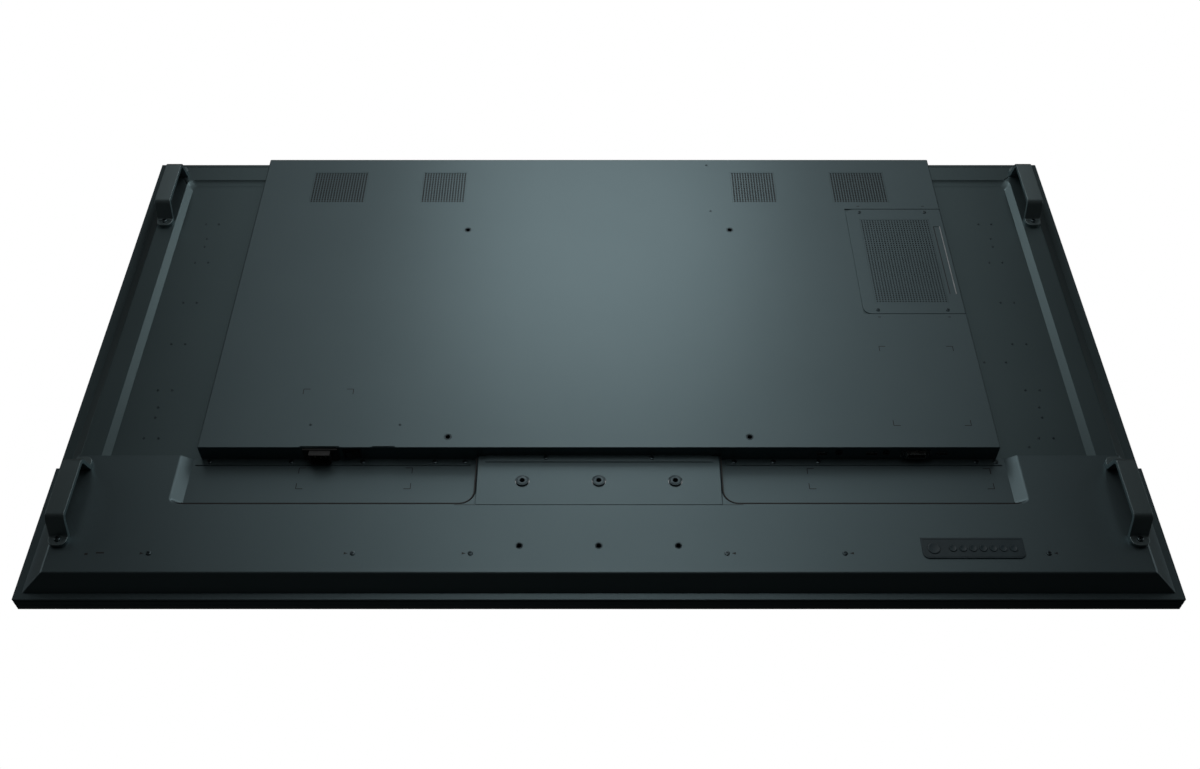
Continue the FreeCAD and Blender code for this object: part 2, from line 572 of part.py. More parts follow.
def stand_mount():
    """Bridge plate, bracket and threaded bosses for a floor or table stand."""
    plate = new_body("stand_bridge_plate")
    pad(plate, "cover_back - skin", "cover_back",
        rectangle("-bridge_side", "bridge_side", "bridge_low", "cover_top - clearance"))
    pocket(plate, "cover_back - skin", "cover_back", circles=[
        (f"{column} * stand_pitch", "stand_upper", "boss_radius + boss_gap") for column in STAND_COLUMNS])
    pocket(plate, "cover_back - skin", "cover_back", circles=[
        (x, "flange_row", "screw_shank + screw_fit") for x in CENTRE_PANEL_SCREWS])

    upper = [(f"{column} * stand_pitch", "stand_upper") for column in STAND_COLUMNS]
    lower = [(f"{column} * stand_pitch", "stand_lower") for column in STAND_COLUMNS]
    front, web = "floor_back + clearance", "(bracket_back - rail_sheet)"
    across = ("-bracket_side", "bracket_side")
    whole = block(across, ("bracket_low", "bracket_top"), ("rim_back + air_gap", "bracket_back"))
    legs = block(across, ("recess_low + recess_slope + bracket_step", "bracket_top"), (front, web))
    inside = block(("-bracket_side + rail_sheet", "bracket_side - rail_sheet"), ("bracket_low", "bracket_top"),
                   (front, web))
    holes = [rod("mount_nut + hairline", centre, web, "bracket_back") for centre in upper]
    holes += [rod("stand_nut + hairline", centre, web, "bracket_back") for centre in lower]
    keep(cut(fuse(whole, legs), inside, *holes), "stand_bracket")

    bosses = []
    for centre in upper:
        ring = rod("boss_radius", centre, "bracket_back + hairline", "boss_back")
        stem = rod("mount_nut", centre, "nut_front", "bracket_back + hairline")
        bosses.append(cut(fuse(ring, stem), rod("mount_thread", centre, "nut_front", "boss_back")))
    group("stand_bosses", bosses)
    inserts = []
    for centre in lower:
        span = ("nut_front", "cover_back")
        inserts.append(cut(rod("stand_nut", centre, *span), rod("mount_thread", centre, *span)))
    group("stand_inserts", inserts)


# ---------------------------------------------------------------- port panels and ports

def port_cut(middle, half, low, high):
    """A panel cut-out about a port's middle, as a loop of X and Z."""
    return rectangle(f"{middle} - ({half})", f"{middle} + ({half})", low, high)


def port_panel(name, left, right, foot, flange, cut_outs=(), round_cuts=(), screws=()):
    """A folded sheet: an upright wall that carries the ports and a foot flange that is screwed down."""
    body = new_body(name)
    seat, (flange_left, flange_right, flange_low) = foot, flange
    wall_high = "wall_low + sheet"
    pad(body, seat, "rail_back", rectangle(left, right, "wall_low", wall_high))
    pad(body, seat, f"({seat}) + sheet", rectangle(flange_left, flange_right, flange_low, wall_high))
    if cut_outs:
        pocket(body, f"-({wall_high})", "-wall_low", *cut_outs, role="XZ_Plane")
    if round_cuts:
        pocket(body, f"-({wall_high})", "-wall_low", role="XZ_Plane", circles=round_cuts)
    pocket(body, seat, f"({seat}) + sheet", circles=[
        (x, "flange_row", "screw_shank + screw_fit") for x in screws])


def port_panels():
    """Three panels close the bottom of the electronics box."""
    seat = "bay_floor + hairline"
    inlet_cut = port_cut("inlet_middle", "inlet_half + port_fit", "inlet_front - port_fit",
                         "inlet_rear + port_fit")
    switch_cut = port_cut("switch_middle", "switch_half + clearance", "switch_front - clearance",
                          "switch_rear + clearance")
    port_panel("port_panel_left", "-panel_side", "-panel_split", seat,
               ("-flange_out", "-flange_in", "flange_low"), [inlet_cut, switch_cut], screws=LEFT_PANEL_SCREWS)
    port_panel("port_panel_centre", "-panel_split + panel_gap", "panel_split - panel_gap",
               "cover_back + hairline", ("-centre_half", "centre_half", "centre_flange_low"),
               screws=CENTRE_PANEL_SCREWS)
    sockets = [(USB_PORT, "usb_half", "usb_rise"), (DVI_PORT, "dvi_half", "dvi_rise")]
    sockets += [(x, "hdmi_half", "hdmi_rise") for x in HDMI_PORTS]
    socket_cuts = [port_cut(x, f"{half} + port_fit", f"port_level - {rise} - port_fit",
                            f"port_level + {rise} + port_fit") for x, half, rise in sockets]
    jack_cuts = [(x, "port_level + jack_lift", "jack_radius + port_fit") for x in JACKS]
    port_panel("port_panel_right", "panel_split", "panel_side", seat,
               ("flange_in", "flange_out", "flange_low"), socket_cuts, jack_cuts, RIGHT_PANEL_SCREWS)


def power_inlet():
    """Three-pin mains inlet: flange, shroud with two cut corners, and flat blades."""
    body = new_body("power_inlet")

    def shroud(shrink):
        half, low, high = f"(inlet_half - {shrink})", f"inlet_front + {shrink}", f"inlet_rear - {shrink}"
        left, right = f"inlet_middle - {half}", f"inlet_middle + {half}"
        return [(left, high), (left, f"{low} + inlet_chamfer"), (f"{left} + inlet_chamfer", low),
                (f"{right} - inlet_chamfer", low), (right, f"{low} + inlet_chamfer"), (right, high)]

    pad(body, "-inlet_back", "-inlet_face", shroud("0"), role="XZ_Plane")
    pad(body, "hairline - wall_low", "-inlet_flange_face",
        port_cut("inlet_middle", "inlet_flange_half", "inlet_front - inlet_margin",
                 "inlet_rear + inlet_margin"), role="XZ_Plane")
    pocket(body, "-inlet_cavity", "-inlet_face", shroud("inlet_wall"), role="XZ_Plane")
    middle = "(inlet_front + inlet_rear) / 2"
    pins = []
    for column, rise in ((-1, "live_rise"), (0, "earth_rise"), (1, "live_rise")):
        x = f"inlet_middle + {column} * pin_pitch"
        pins.append(block((f"{x} - pin_half_width", f"{x} + pin_half_width"), ("pin_face", "inlet_cavity"),
                          (f"{middle} + {rise} - pin_half_height", f"{middle} + {rise} + pin_half_height")))
    group("power_inlet_pins", pins)


def power_switch():
    """Rocker switch: a bezelled housing and a rocker on two stub pivots, tipped to one side at rest."""
    housing = new_body("power_switch_frame")
    front, rear = "switch_front + switch_wall", "switch_rear - switch_wall"
    pivot = ("switch_middle", "switch_face + pivot_depth")
    pad(housing, "-inlet_back", "hairline - wall_low",
        port_cut("switch_middle", "switch_half", "switch_front", "switch_rear"), role="XZ_Plane")
    pad(housing, "hairline - wall_low", "-switch_face",
        port_cut("switch_middle", "switch_half + switch_lip", "switch_front - inlet_margin",
                 "switch_rear + inlet_margin"), role="XZ_Plane")
    pocket(housing, "switch_floor - inlet_back", "-switch_face",
           port_cut("switch_middle", "switch_hole", front, rear), role="XZ_Plane")
    pocket(housing, f"{front} - pivot_length - pivot_fit", f"{rear} + pivot_length + pivot_fit",
           circles=[(*pivot, "pivot_radius + pivot_fit")])
    rocker = new_body("power_switch_rocker")
    feature = pad(rocker, f"{front} + rocker_gap", f"{rear} - rocker_gap",
                  [("-rocker_half", "-rocker_rise"), ("0", "-rocker_dip"), ("rocker_half", "-rocker_rise"),
                   ("rocker_foot_half", "rocker_foot"), ("-rocker_foot_half", "rocker_foot")])
    offset = feature.Profile[0].AttachmentOffset
    offset.Rotation = FreeCAD.Rotation(FreeCAD.Vector(0, 0, 1), SIZES["rocker_tilt"])
    feature.Profile[0].AttachmentOffset = offset
    for axis, place in zip("xy", pivot):
        feature.Profile[0].setExpression(f"AttachmentOffset.Base.{axis}", sized(place))
    pad(rocker, f"{front} - pivot_length", f"{rear} + pivot_length", circles=[(*pivot, "pivot_radius")])


def tongue_socket(middle, half, rise, tongue):
    """A flat socket shell with a tongue inside."""
    left, right = f"{middle} - {half}", f"{middle} + {half}"
    low, high = f"port_level - {rise}", f"port_level + {rise}"
    shell = block((left, right), ("socket_front", "socket_back"), (low, high))
    mouth = block((f"{left} + socket_wall", f"{right} - socket_wall"), ("socket_front", "socket_floor"),
                  (f"{low} + socket_wall", f"{high} - socket_wall"))
    blade = block((f"{left} + tongue_inset", f"{right} - tongue_inset"), ("tongue_front", "socket_floor"),
                  (f"port_level - {tongue}", f"port_level + {tongue}"))
    return fuse(cut(shell, mouth), blade)


def data_ports():
    """Signal sockets along the right-hand port panel."""
    keep(tongue_socket(USB_PORT, "usb_half", "usb_rise", "usb_tongue"), "usb_socket")
    group("hdmi_sockets", [tongue_socket(x, "hdmi_half", "hdmi_rise", "hdmi_tongue") for x in HDMI_PORTS])
    jacks = []
    for x in JACKS:
        centre = (x, "port_level + jack_lift")
        jacks.append(cut(rod("jack_radius", centre, "jack_front", "socket_back", along="y"),
                         rod("jack_bore", centre, "jack_front", "jack_floor", along="y")))
    group("jack_sockets", jacks)

    def dvi_block(half, rise, front, back):
        return block((f"{DVI_PORT} - {half}", f"{DVI_PORT} + {half}"), (front, back),
                     (f"port_level - {rise}", f"port_level + {rise}"))

    shell = dvi_block("dvi_half", "dvi_rise", "dvi_front", "socket_back")
    flange = dvi_block("dvi_flange_half", "dvi_flange_rise", "dvi_flange_front", "wall_low - hairline")
    mouth = dvi_block("(dvi_half - dvi_wall)", "(dvi_rise - dvi_wall)", "dvi_front", "dvi_floor")
    keep(cut(fuse(shell, flange), mouth), "dvi_socket")
    screws = []
    for sign in (-1, 1):
        centre = (f"{DVI_PORT} + {sign} * nut_offset", "port_level")
        screws.append(cut(rod("nut_radius", centre, "jack_nut_front", "dvi_flange_front", along="y"),
                          rod("nut_bore", centre, "jack_nut_front", "nut_floor", along="y")))
    group("dvi_jack_screws", screws)


# ---------------------------------------------------------------- boards and speakers

def circuit_board(name, left, right, components):
    """A board with its largest components as blocks."""
    body = new_body(name)
    front, back = "floor_back + board_rise", "floor_back + board_rise + board_sheet"
    pad(body, front, back, rectangle(left, right, "board_low", "board_top"))
    for component_left, component_right, low, top, height in components:
        pad(body, back, f"{back} + {height}", rectangle(component_left, component_right, low, top))


def boards():
    """Main board behind the signal ports and power board behind the inlet."""
    circuit_board("main_board", "board_near", "board_far", MAIN_COMPONENTS)
    circuit_board("power_board", "-board_far", "-board_near", POWER_COMPONENTS)


def speakers():
    """Flat loudspeaker boxes in the lower cover."""
    edges = {"left": ("-speaker_far", "-speaker_near"), "right": ("speaker_near", "speaker_far")}
    group("speakers", [
        block(across, ("speaker_low", "speaker_top"), ("floor_back + air_gap", "floor_back + speaker_depth"))
        for across in edges.values()])


# ---------------------------------------------------------------- handles and screws

def handle(name, sign, low, seat):
    """A bent strap with a round foot at each end."""
    body = new_body(name)
    across = ("handle_middle - handle_width / 2", "handle_middle + handle_width / 2")
    levels = across if sign > 0 else (f"-({across[1]})", f"-({across[0]})")
    top, inner_top = f"({seat}) + handle_height", f"({seat}) + handle_height - handle_sheet"
    foot_top, far = f"({seat}) + handle_sheet", f"{low} + handle_length"
    knee, shoulder = "handle_foot", "handle_foot + handle_lean"
    rising = [(low, seat), (f"{low} + {knee} + handle_inner", seat),
              (f"{low} + {shoulder} + handle_inner", inner_top)]
    falling = [(f"{far} - {shoulder} - handle_inner", inner_top), (f"{far} - {knee} - handle_inner", seat),
               (far, seat)]
    outer = [(far, foot_top), (f"{far} - ({knee})", foot_top), (f"{far} - ({shoulder})", top),
             (f"{low} + {shoulder}", top), (f"{low} + {knee}", foot_top), (low, foot_top)]
    pad(body, *levels, rising + falling + outer, role="YZ_Plane")
    start = SIZES[low]
    bends = [start + SIZES["handle_foot"] + SIZES["handle_lean"]]
    bends.append(2 * start + SIZES["handle_length"] - bends[0])
    crest = SIZES[seat] + SIZES["handle_height"]

    def bend(edge):
        ends = [vertex.Point for vertex in edge.Vertexes]
        across_x = abs(ends[0].x - ends[-1].x) > SIZES["handle_width"] - 1
        return across_x and abs(ends[0].z - crest) < 0.1 and min(abs(ends[0].y - y) for y in bends) < 0.1

    def foot_corner(edge):
        ends = [vertex.Point for vertex in edge.Vertexes]
        upright = abs(ends[0].z - ends[-1].z) > SIZES["handle_sheet"] - 0.5
        ends_y = (start, start + SIZES["handle_length"])
        return upright and max(min(abs(end.y - y) for y in ends_y) for end in ends) < 0.1

    fillet(body, "bend_radius", bend)
    fillet(body, "foot_radius", foot_corner)
    pocket(body, seat, foot_top, circles=[
        (f"{sign} * handle_middle", f"{low} + {place}", "handle_shank + screw_fit")
        for place in ("handle_screw", "handle_length - handle_screw")])


def handles():
    """Four handles down the sides, two on the lower cover and two on the pan's rim."""
    seats = {"lower": ("handle_low", "cover_back"), "upper": ("handle_high", "rim_back")}
    screws = []
    for height, (low, seat) in seats.items():
        for side, sign in SIDES.items():
            handle(f"handle_{height}_{side}", sign, low, seat)
            for place in ("handle_screw", "handle_length - handle_screw"):
                screws.append(screw((f"{sign} * handle_middle", f"{low} + {place}"), f"{seat} + handle_sheet",
                                    "handle_head", "handle_rise", "handle_shank", "handle_reach"))
    group("handle_screws", screws)


def cover_screws():
    """Screws of the lower cover and of the port panels."""
    sizes = ("screw_head", "screw_rise", "screw_shank", "screw_reach")
    group("lower_cover_screws", [screw((x, "screw_row"), "cover_back", *sizes) for x in CHIN_SCREWS])
    seats = [(x, "bay_floor + hairline + sheet") for x in LEFT_PANEL_SCREWS + RIGHT_PANEL_SCREWS]
    seats += [(x, "cover_back + hairline + sheet") for x in CENTRE_PANEL_SCREWS]
    group("port_panel_screws", [screw((x, "flange_row"), seat, *sizes) for x, seat in seats])


# ---------------------------------------------------------------- keypad

def keys():
    """Name, middle and radius of each push button, the power button first."""
    yield "power_button", "power_middle", "power_radius"
    for key in KEYS:
        yield f"key_button_{key + 1}", f"key_first + {key} * key_pitch", "key_radius"


def keypad_outline(inset):
    """The keypad's rectangle, smaller by inset on each side."""
    return rectangle(f"keys_left + {inset}", f"keys_right - {inset}",
                     f"keys_low + {inset}", f"keys_top - {inset}")


def keypad():
    """Surround with a round hole for each button, the buttons, and the switch board under them."""
    surround = new_body("keypad_surround")
    pad(surround, "cover_back", "keys_back", keypad_outline("0"))
    corners = [(SIZES[x], SIZES["keys_low"]) for x in ("keys_left", "keys_right")]
    fillet(surround, "keys_radius", rising_near(*corners))
    pad(surround, "keys_front", "cover_back", keypad_outline("(keys_step + clearance)"))
    pocket(surround, "keys_front", "keys_back", circles=[
        (middle, "keys_level", f"{radius} + key_gap") for _, middle, radius in keys()])
    for name, middle, radius in keys():
        button = new_body(name)
        pad(button, "key_front", "key_front + key_flange",
            circles=[(middle, "keys_level", f"{radius} + key_lip")])
        pad(button, "key_front + key_flange", "key_back", circles=[(middle, "keys_level", radius)])
    board = new_body("keypad_board")
    pad(board, "board_front", "board_back", keypad_outline("(keys_step + board_margin)"))
    pad(board, "board_back", "dome_back",
        circles=[(middle, "keys_level", "dome_radius") for _, middle, _ in keys()])


# ---------------------------------------------------------------- build, check, write

for edge_side in ("top", "bottom", "left", "right"):
    bezel_rail(edge_side)
inset_sheet("lcd_panel", "panel_inset", "panel_front", "panel_back")
inset_sheet("optical_sheets", "sheets_inset", "sheets_front", "sheets_back")
inset_sheet("diffuser_plate", "sheets_inset", "diffuser_front", "diffuser_back")
middle_frame()
inset_sheet("reflector_sheet", "reflector_inset", "reflector_front", "reflector_back")
led_bars()
rear_pan()
lower_cover()
electronics_cover()
vent_grilles()
option_cover()
option_slot()
vesa_mount()
stand_mount()
port_panels()
power_inlet()
power_switch()
data_ports()
boards()
speakers()
handles()
cover_screws()
keypad()

doc.recompute()

failed = [item.Name for item in doc.Objects if "Invalid" in item.State or "Error" in item.State]
failed += [item.Label for item in sub_parts if item.Shape.isNull() or not item.Shape.isValid()]
for item in doc.Objects:
    if item.isDerivedFrom("PartDesign::Feature") and item.BaseFeature:
        change = item.Shape.Volume - item.BaseFeature.Shape.Volume
        cuts = item.TypeId in ("PartDesign::Pocket", "PartDesign::SubtractiveLoft")
        adds = item.TypeId in ("PartDesign::Pad", "PartDesign::AdditiveLoft")
        if (cuts and change >= 0) or (adds and change <= 0):
            failed.append(f"{item.Name} changed the volume by {change:.1f}")
if failed:
    raise SystemExit("failed: " + ", ".join(failed))

os.makedirs("parts", exist_ok=True)
for item in sub_parts:
    item.Shape.exportStep(f"parts/{item.Label}.step")
print(len(sub_parts), "sub-parts written")
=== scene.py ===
import json
import math

import bmesh
import bpy
from mathutils import Matrix, Vector


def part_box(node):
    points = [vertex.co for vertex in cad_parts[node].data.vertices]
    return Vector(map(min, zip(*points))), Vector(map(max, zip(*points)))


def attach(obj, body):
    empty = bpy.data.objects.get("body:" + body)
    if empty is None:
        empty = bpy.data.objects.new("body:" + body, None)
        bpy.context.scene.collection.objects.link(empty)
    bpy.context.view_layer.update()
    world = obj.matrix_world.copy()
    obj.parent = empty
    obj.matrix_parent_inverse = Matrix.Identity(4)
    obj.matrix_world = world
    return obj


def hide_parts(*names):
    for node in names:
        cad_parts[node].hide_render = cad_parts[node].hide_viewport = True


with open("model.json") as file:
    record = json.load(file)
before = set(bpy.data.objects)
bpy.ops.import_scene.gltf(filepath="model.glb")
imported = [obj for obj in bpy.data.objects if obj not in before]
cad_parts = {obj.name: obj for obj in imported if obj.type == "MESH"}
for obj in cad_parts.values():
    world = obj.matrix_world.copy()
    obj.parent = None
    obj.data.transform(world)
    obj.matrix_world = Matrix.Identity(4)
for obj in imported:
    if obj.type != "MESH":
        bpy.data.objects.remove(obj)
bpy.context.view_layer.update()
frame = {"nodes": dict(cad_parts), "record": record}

# Pieces are drawn as the display lies on its screen: X across the back, Y up the display from its bottom
# edge, Z rearwards from the front face, in millimetres. UPRIGHT stands them up in the frame, in metres.
UPRIGHT = Matrix(((-0.001, 0, 0, 0), (0, 0, 0.001, -0.072), (0, 0.001, 0, -0.4185), (0, 0, 0, 1)))
LYING = UPRIGHT.inverted()
STATIC = "display"

# Folds and walls of the covers: each is a distance either side of the middle or a height up the display.
CREST_SIDE, CREST_FOOT = 691, 20.5
BAY_NEAR, BAY_FAR, BAY_LOW, BAY_CORNER = 161, 555, 124.5, 20
PAN_CREST_SIDE, PAN_CREST_TOP, PAN_CREST_FOOT = 693, 800, 37
RECESS_SIDE, RECESS_TOP, RECESS_FOOT, PAN_FLOOR = 665, 768, 58, 36


def span(node):
    """The lowest and highest corner of a CAD node as it lies, in millimetres."""
    corners = [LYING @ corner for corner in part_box(node)]
    return Vector(map(min, *corners)), Vector(map(max, *corners))


# ---------------------------------------------------------------- colours and nodes

def linear(hex_colour, alpha=1.0):
    """An sRGB hex colour as linear red, green, blue and alpha."""
    channels = [int(hex_colour[n:n + 2], 16) / 255 for n in (1, 3, 5)]
    return [c / 12.92 if c <= 0.04045 else ((c + 0.055) / 1.055) ** 2.4 for c in channels] + [alpha]


def add_node(tree, kind, settings=None, **links):
    """Adds a shader node, sets its properties, and links or sets its inputs by name."""
    node = tree.nodes.new("ShaderNode" + kind)
    for name, value in (settings or {}).items():
        setattr(node, name, value)
    for name, value in links.items():
        socket = node.inputs[name.replace("_", " ")]
        if isinstance(value, bpy.types.NodeSocket):
            tree.links.new(value, socket)
        else:
            socket.default_value = value
    return node


def new_material(name):
    """An empty material, its tree, its Principled shader and its object coordinates in metres."""
    material = bpy.data.materials.new(name)
    material.use_nodes = True
    tree = material.node_tree
    shader = next(node for node in tree.nodes if node.type == "BSDF_PRINCIPLED")
    place = add_node(tree, "TexCoord").outputs["Object"]
    return material, tree, shader, place


def set_shader(shader, **values):
    """Sets the Principled shader's own sockets."""
    for name, value in values.items():
        shader.inputs[name.replace("_", " ")].default_value = value


def per_mm(size):
    """The texture scale that gives features of a size in millimetres, on coordinates in metres."""
    return 1000.0 / size


def mottled(tree, place, size, dark, light, detail=3.0):
    """A noise of a feature size in millimetres that runs between two colours."""
    noise = add_node(tree, "TexNoise", Vector=place, Scale=per_mm(size), Detail=detail)
    ramp = add_node(tree, "ValToRGB", Fac=noise.outputs["Fac"])
    ramp.color_ramp.elements[0].position = 0.3
    ramp.color_ramp.elements[1].position = 0.7
    ramp.color_ramp.elements[0].color = linear(dark)
    ramp.color_ramp.elements[1].color = linear(light)
    return ramp.outputs["Color"]


def vary(tree, place, size, low, high, detail=2.0):
    """A noise of a feature size in millimetres that runs between two numbers."""
    noise = add_node(tree, "TexNoise", Vector=place, Scale=per_mm(size), Detail=detail)
    band = add_node(tree, "MapRange", Value=noise.outputs["Fac"])
    for name, value in (("From Min", 0.3), ("From Max", 0.7), ("To Min", low), ("To Max", high)):
        band.inputs[name].default_value = value
    return band.outputs["Result"]


def grain(tree, place, size, depth, strength, detail=2.0):
    """A bump of a grain size in millimetres and a depth in millimetres."""
    noise = add_node(tree, "TexNoise", Vector=place, Scale=per_mm(size), Detail=detail)
    bump = add_node(tree, "Bump", Height=noise.outputs["Fac"], Strength=strength, Distance=depth / 1000)
    return bump.outputs["Normal"]


# ---------------------------------------------------------------- materials

def metallic_powder_coat(name, dark, light, rough_low, rough_high, metallic=0.9):
    """Sheet steel under satin charcoal powder coat with a fine metallic flake: a broad soft sheen."""
    material, tree, shader, place = new_material(name)
    # the coat's own orange peel is about 0.6 mm and too fine to show, so it is drawn at 1.6 mm
    tree.links.new(mottled(tree, place, 140, dark, light), shader.inputs["Base Color"])
    tree.links.new(vary(tree, place, 260, rough_low, rough_high), shader.inputs["Roughness"])
    tree.links.new(grain(tree, place, 1.6, 0.02, 0.25), shader.inputs["Normal"])
    set_shader(shader, Metallic=metallic, IOR=1.5)
    return material


def moulded(name, dark, light, rough, grain_size=0.9, depth=0.03):
    """Moulded plastic with a spark-eroded texture: a dull, slightly uneven black."""
    material, tree, shader, place = new_material(name)
    tree.links.new(mottled(tree, place, 25, dark, light), shader.inputs["Base Color"])
    tree.links.new(vary(tree, place, 12, rough - 0.05, rough + 0.05), shader.inputs["Roughness"])
    tree.links.new(grain(tree, place, grain_size, depth, 0.4), shader.inputs["Normal"])
    set_shader(shader, IOR=1.49)
    return material


def plated(name, colour, shade, rough, grain_size=2.0):
    """Plated or bare metal with faint rolling or turning marks."""
    material, tree, shader, place = new_material(name)
    tree.links.new(mottled(tree, place, 18, shade, colour), shader.inputs["Base Color"])
    tree.links.new(vary(tree, place, 6, rough - 0.06, rough + 0.06), shader.inputs["Roughness"])
    tree.links.new(grain(tree, place, grain_size, 0.01, 0.3), shader.inputs["Normal"])
    set_shader(shader, Metallic=1.0)
    return material


def screen_glass():
    """Black liquid-crystal panel: an inky picture area inside a slightly greyer printed border."""
    material, tree, shader, place = new_material("lcd_panel_glass")
    low, high = span("lcd_panel")
    border = 0.010
    half_x = (high.x - low.x) / 2000 - border
    half_z = (high.y - low.y) / 2000 - border
    split = add_node(tree, "SeparateXYZ", Vector=place)
    across = add_node(tree, "Math", {"operation": "ABSOLUTE"})
    tree.links.new(split.outputs["X"], across.inputs[0])
    up = add_node(tree, "Math", {"operation": "ABSOLUTE"})
    tree.links.new(split.outputs["Z"], up.inputs[0])
    inside = []
    for source, limit in ((across, half_x), (up, half_z)):
        test = add_node(tree, "Math", {"operation": "LESS_THAN"})
        tree.links.new(source.outputs[0], test.inputs[0])
        test.inputs[1].default_value = limit
        inside.append(test)
    both = add_node(tree, "Math", {"operation": "MULTIPLY"})
    for number, test in enumerate(inside):
        tree.links.new(test.outputs[0], both.inputs[number])
    mix = add_node(tree, "ValToRGB", Fac=both.outputs[0])
    mix.color_ramp.elements[0].color = linear("#16181A")
    mix.color_ramp.elements[1].color = linear("#08090B")
    tree.links.new(mix.outputs["Color"], shader.inputs["Base Color"])
    tree.links.new(vary(tree, place, 30, 0.2, 0.24), shader.inputs["Roughness"])
    tree.links.new(grain(tree, place, 0.8, 0.004, 0.2), shader.inputs["Normal"])
    set_shader(shader, IOR=1.5, Coat_Weight=0.3, Coat_Roughness=0.08)
    return material


def solder_mask():
    """Green solder mask over copper: darker lands with lighter track fields."""
    material, tree, shader, place = new_material("green_solder_mask")
    tree.links.new(mottled(tree, place, 6, "#0B3A22", "#1A5A36", 1.0), shader.inputs["Base Color"])
    tree.links.new(vary(tree, place, 4, 0.3, 0.45), shader.inputs["Roughness"])
    tree.links.new(grain(tree, place, 2.5, 0.04, 0.5), shader.inputs["Normal"])
    set_shader(shader, IOR=1.5)
    return material


MATERIALS = {
    "powder_coat": metallic_powder_coat("charcoal_powder_coat", "#5D6D71", "#5F6F73", 0.415, 0.425),
    "pan_coat": metallic_powder_coat("charcoal_coil_coat", "#57676A", "#59696C", 0.405, 0.415),
    "bezel_coat": metallic_powder_coat("black_satin_enamel", "#5C686C", "#606C70", 0.4, 0.42, 0.8),
    # the handle enamel is the powder coat made lighter: a painted highlight for the handles' lit inner edges
    "handle_coat": metallic_powder_coat("handle_enamel_painted_highlight", "#78888B", "#7E8E91", 0.34, 0.35),
    "panel_glass": screen_glass(),
    "light_film": moulded("white_light_film", "#E6E6E2", "#F2F2EE", 0.5),
    "moulded_frame": moulded("black_glass_filled_nylon", "#131415", "#1B1C1E", 0.6),
    "led_board": moulded("white_led_board", "#DADAD6", "#EAEAE6", 0.4),
    "zinc_steel": plated("bright_zinc_plate", "#B9BEC0", "#9DA3A6", 0.36),
    "screw_steel": plated("black_zinc_screws", "#5A666A", "#3C474B", 0.34),
    "connector_black": moulded("black_nylon", "#101112", "#191A1B", 0.55),
    "rocker_plastic": moulded("rocker_polycarbonate", "#0D0E0F", "#141516", 0.28, 1.4, 0.01),
    "connector_metal": plated("bright_nickel_plate", "#B4B6B4", "#8E918F", 0.25),
    "pin_metal": plated("nickelled_brass", "#C9C2AC", "#A79F88", 0.25),
    "circuit_board": solder_mask(),
    "key_plastic": moulded("key_polycarbonate", "#27393F", "#2E4046", 0.42),
}
SLOTS = {entry["node"]: entry["material_slot"] for entry in frame["record"]["subparts"]}
for node_name, node_object in frame["nodes"].items():
    node_object.data.materials.clear()
    node_object.data.materials.append(MATERIALS[SLOTS[node_name]])


# ---------------------------------------------------------------- making pieces

def near(value, *targets, reach=0.15):
    """Whether a number is within reach of one of the targets."""
    return any(abs(value - target) < reach for target in targets)


def solids(node):
    """The lowest and highest corner of each separate solid of a CAD node, as it lies, in millimetres."""
    build = merged_copy(node)
    left = set(build.verts)
    found = []
    while left:
        reached = [left.pop()]
        for vertex in reached:
            for edge in vertex.link_edges:
                other = edge.other_vert(vertex)
                if other in left:
                    left.remove(other)
                    reached.append(other)
        places = [vertex.co for vertex in reached]
        found.append((Vector(map(min, *places)), Vector(map(max, *places))))
    build.free()
    return sorted(found, key=lambda box: tuple(round(value, 1) for value in box[0]))


def merged_copy(node):
    """A bmesh copy of a CAD node, as it lies, with its triangles joined into one skin."""
    build = bmesh.new()
    build.from_mesh(frame["nodes"][node].data)
    build.transform(LYING)
    bmesh.ops.remove_doubles(build, verts=build.verts, dist=0.002)
    return build


def finish_piece(build, name, slot, body=STATIC, stands_for=(), sharp=32, flat=True):
    """Turns a bmesh, drawn lying in millimetres, into a smooth-shaded piece that rides on a body."""
    bmesh.ops.recalc_face_normals(build, faces=build.faces)
    mesh = bpy.data.meshes.new(name)
    build.transform(UPRIGHT)
    build.to_mesh(mesh)
    build.free()
    for face in mesh.polygons:
        face.use_smooth = True
    mesh.set_sharp_from_angle(angle=math.radians(sharp))
    mesh.materials.append(MATERIALS[slot])
    piece = bpy.data.objects.new(name, mesh)
    bpy.context.scene.collection.objects.link(piece)
    if flat:
        piece.modifiers.new("flat_faces", "WEIGHTED_NORMAL").keep_sharp = True
    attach(piece, body)
    if stands_for:
        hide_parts(*stands_for)


def roll_edges(build, radius, wanted, segments=5):
    """Rolls the folded edges that the wanted function picks by their two ends."""
    picked = [edge for edge in build.edges
              if len(edge.link_faces) == 2 and edge.calc_face_angle(0) > math.radians(14)
              and wanted(edge.verts[0].co, edge.verts[1].co)]
    bmesh.ops.bevel(build, geom=picked, offset=radius, offset_type="OFFSET", segments=segments,
                    profile=0.5, affect="EDGES", clamp_overlap=False, material=-1)


def rolled_shell(node, rolls, body=STATIC, sharp=23):
    """Stands a CAD sheet-metal node in with a copy whose folds are rolled: (radius, wanted) pairs."""
    build = merged_copy(node)
    bmesh.ops.dissolve_limit(build, angle_limit=math.radians(0.6), verts=build.verts, edges=build.edges)
    for radius, wanted in rolls:
        roll_edges(build, radius, wanted)
    finish_piece(build, node + "_shell", SLOTS[node], body, (node,), sharp)


def at_level(level, *conditions):
    """Picks edges whose two ends lie at a level and meet one of the conditions."""
    def wanted(start, end):
        if not (near(start.z, level) and near(end.z, level)):
            return False
        return any(condition(start, end) for condition in conditions)
    return wanted


def along_x(*values):
    """A condition: both ends lie at one of these distances either side of the middle."""
    return lambda start, end: near(abs(start.x), *values) and near(abs(end.x), *values)


def along_y(*values):
    """A condition: both ends lie at one of these heights."""
    return lambda start, end: near(start.y, *values) and near(end.y, *values)


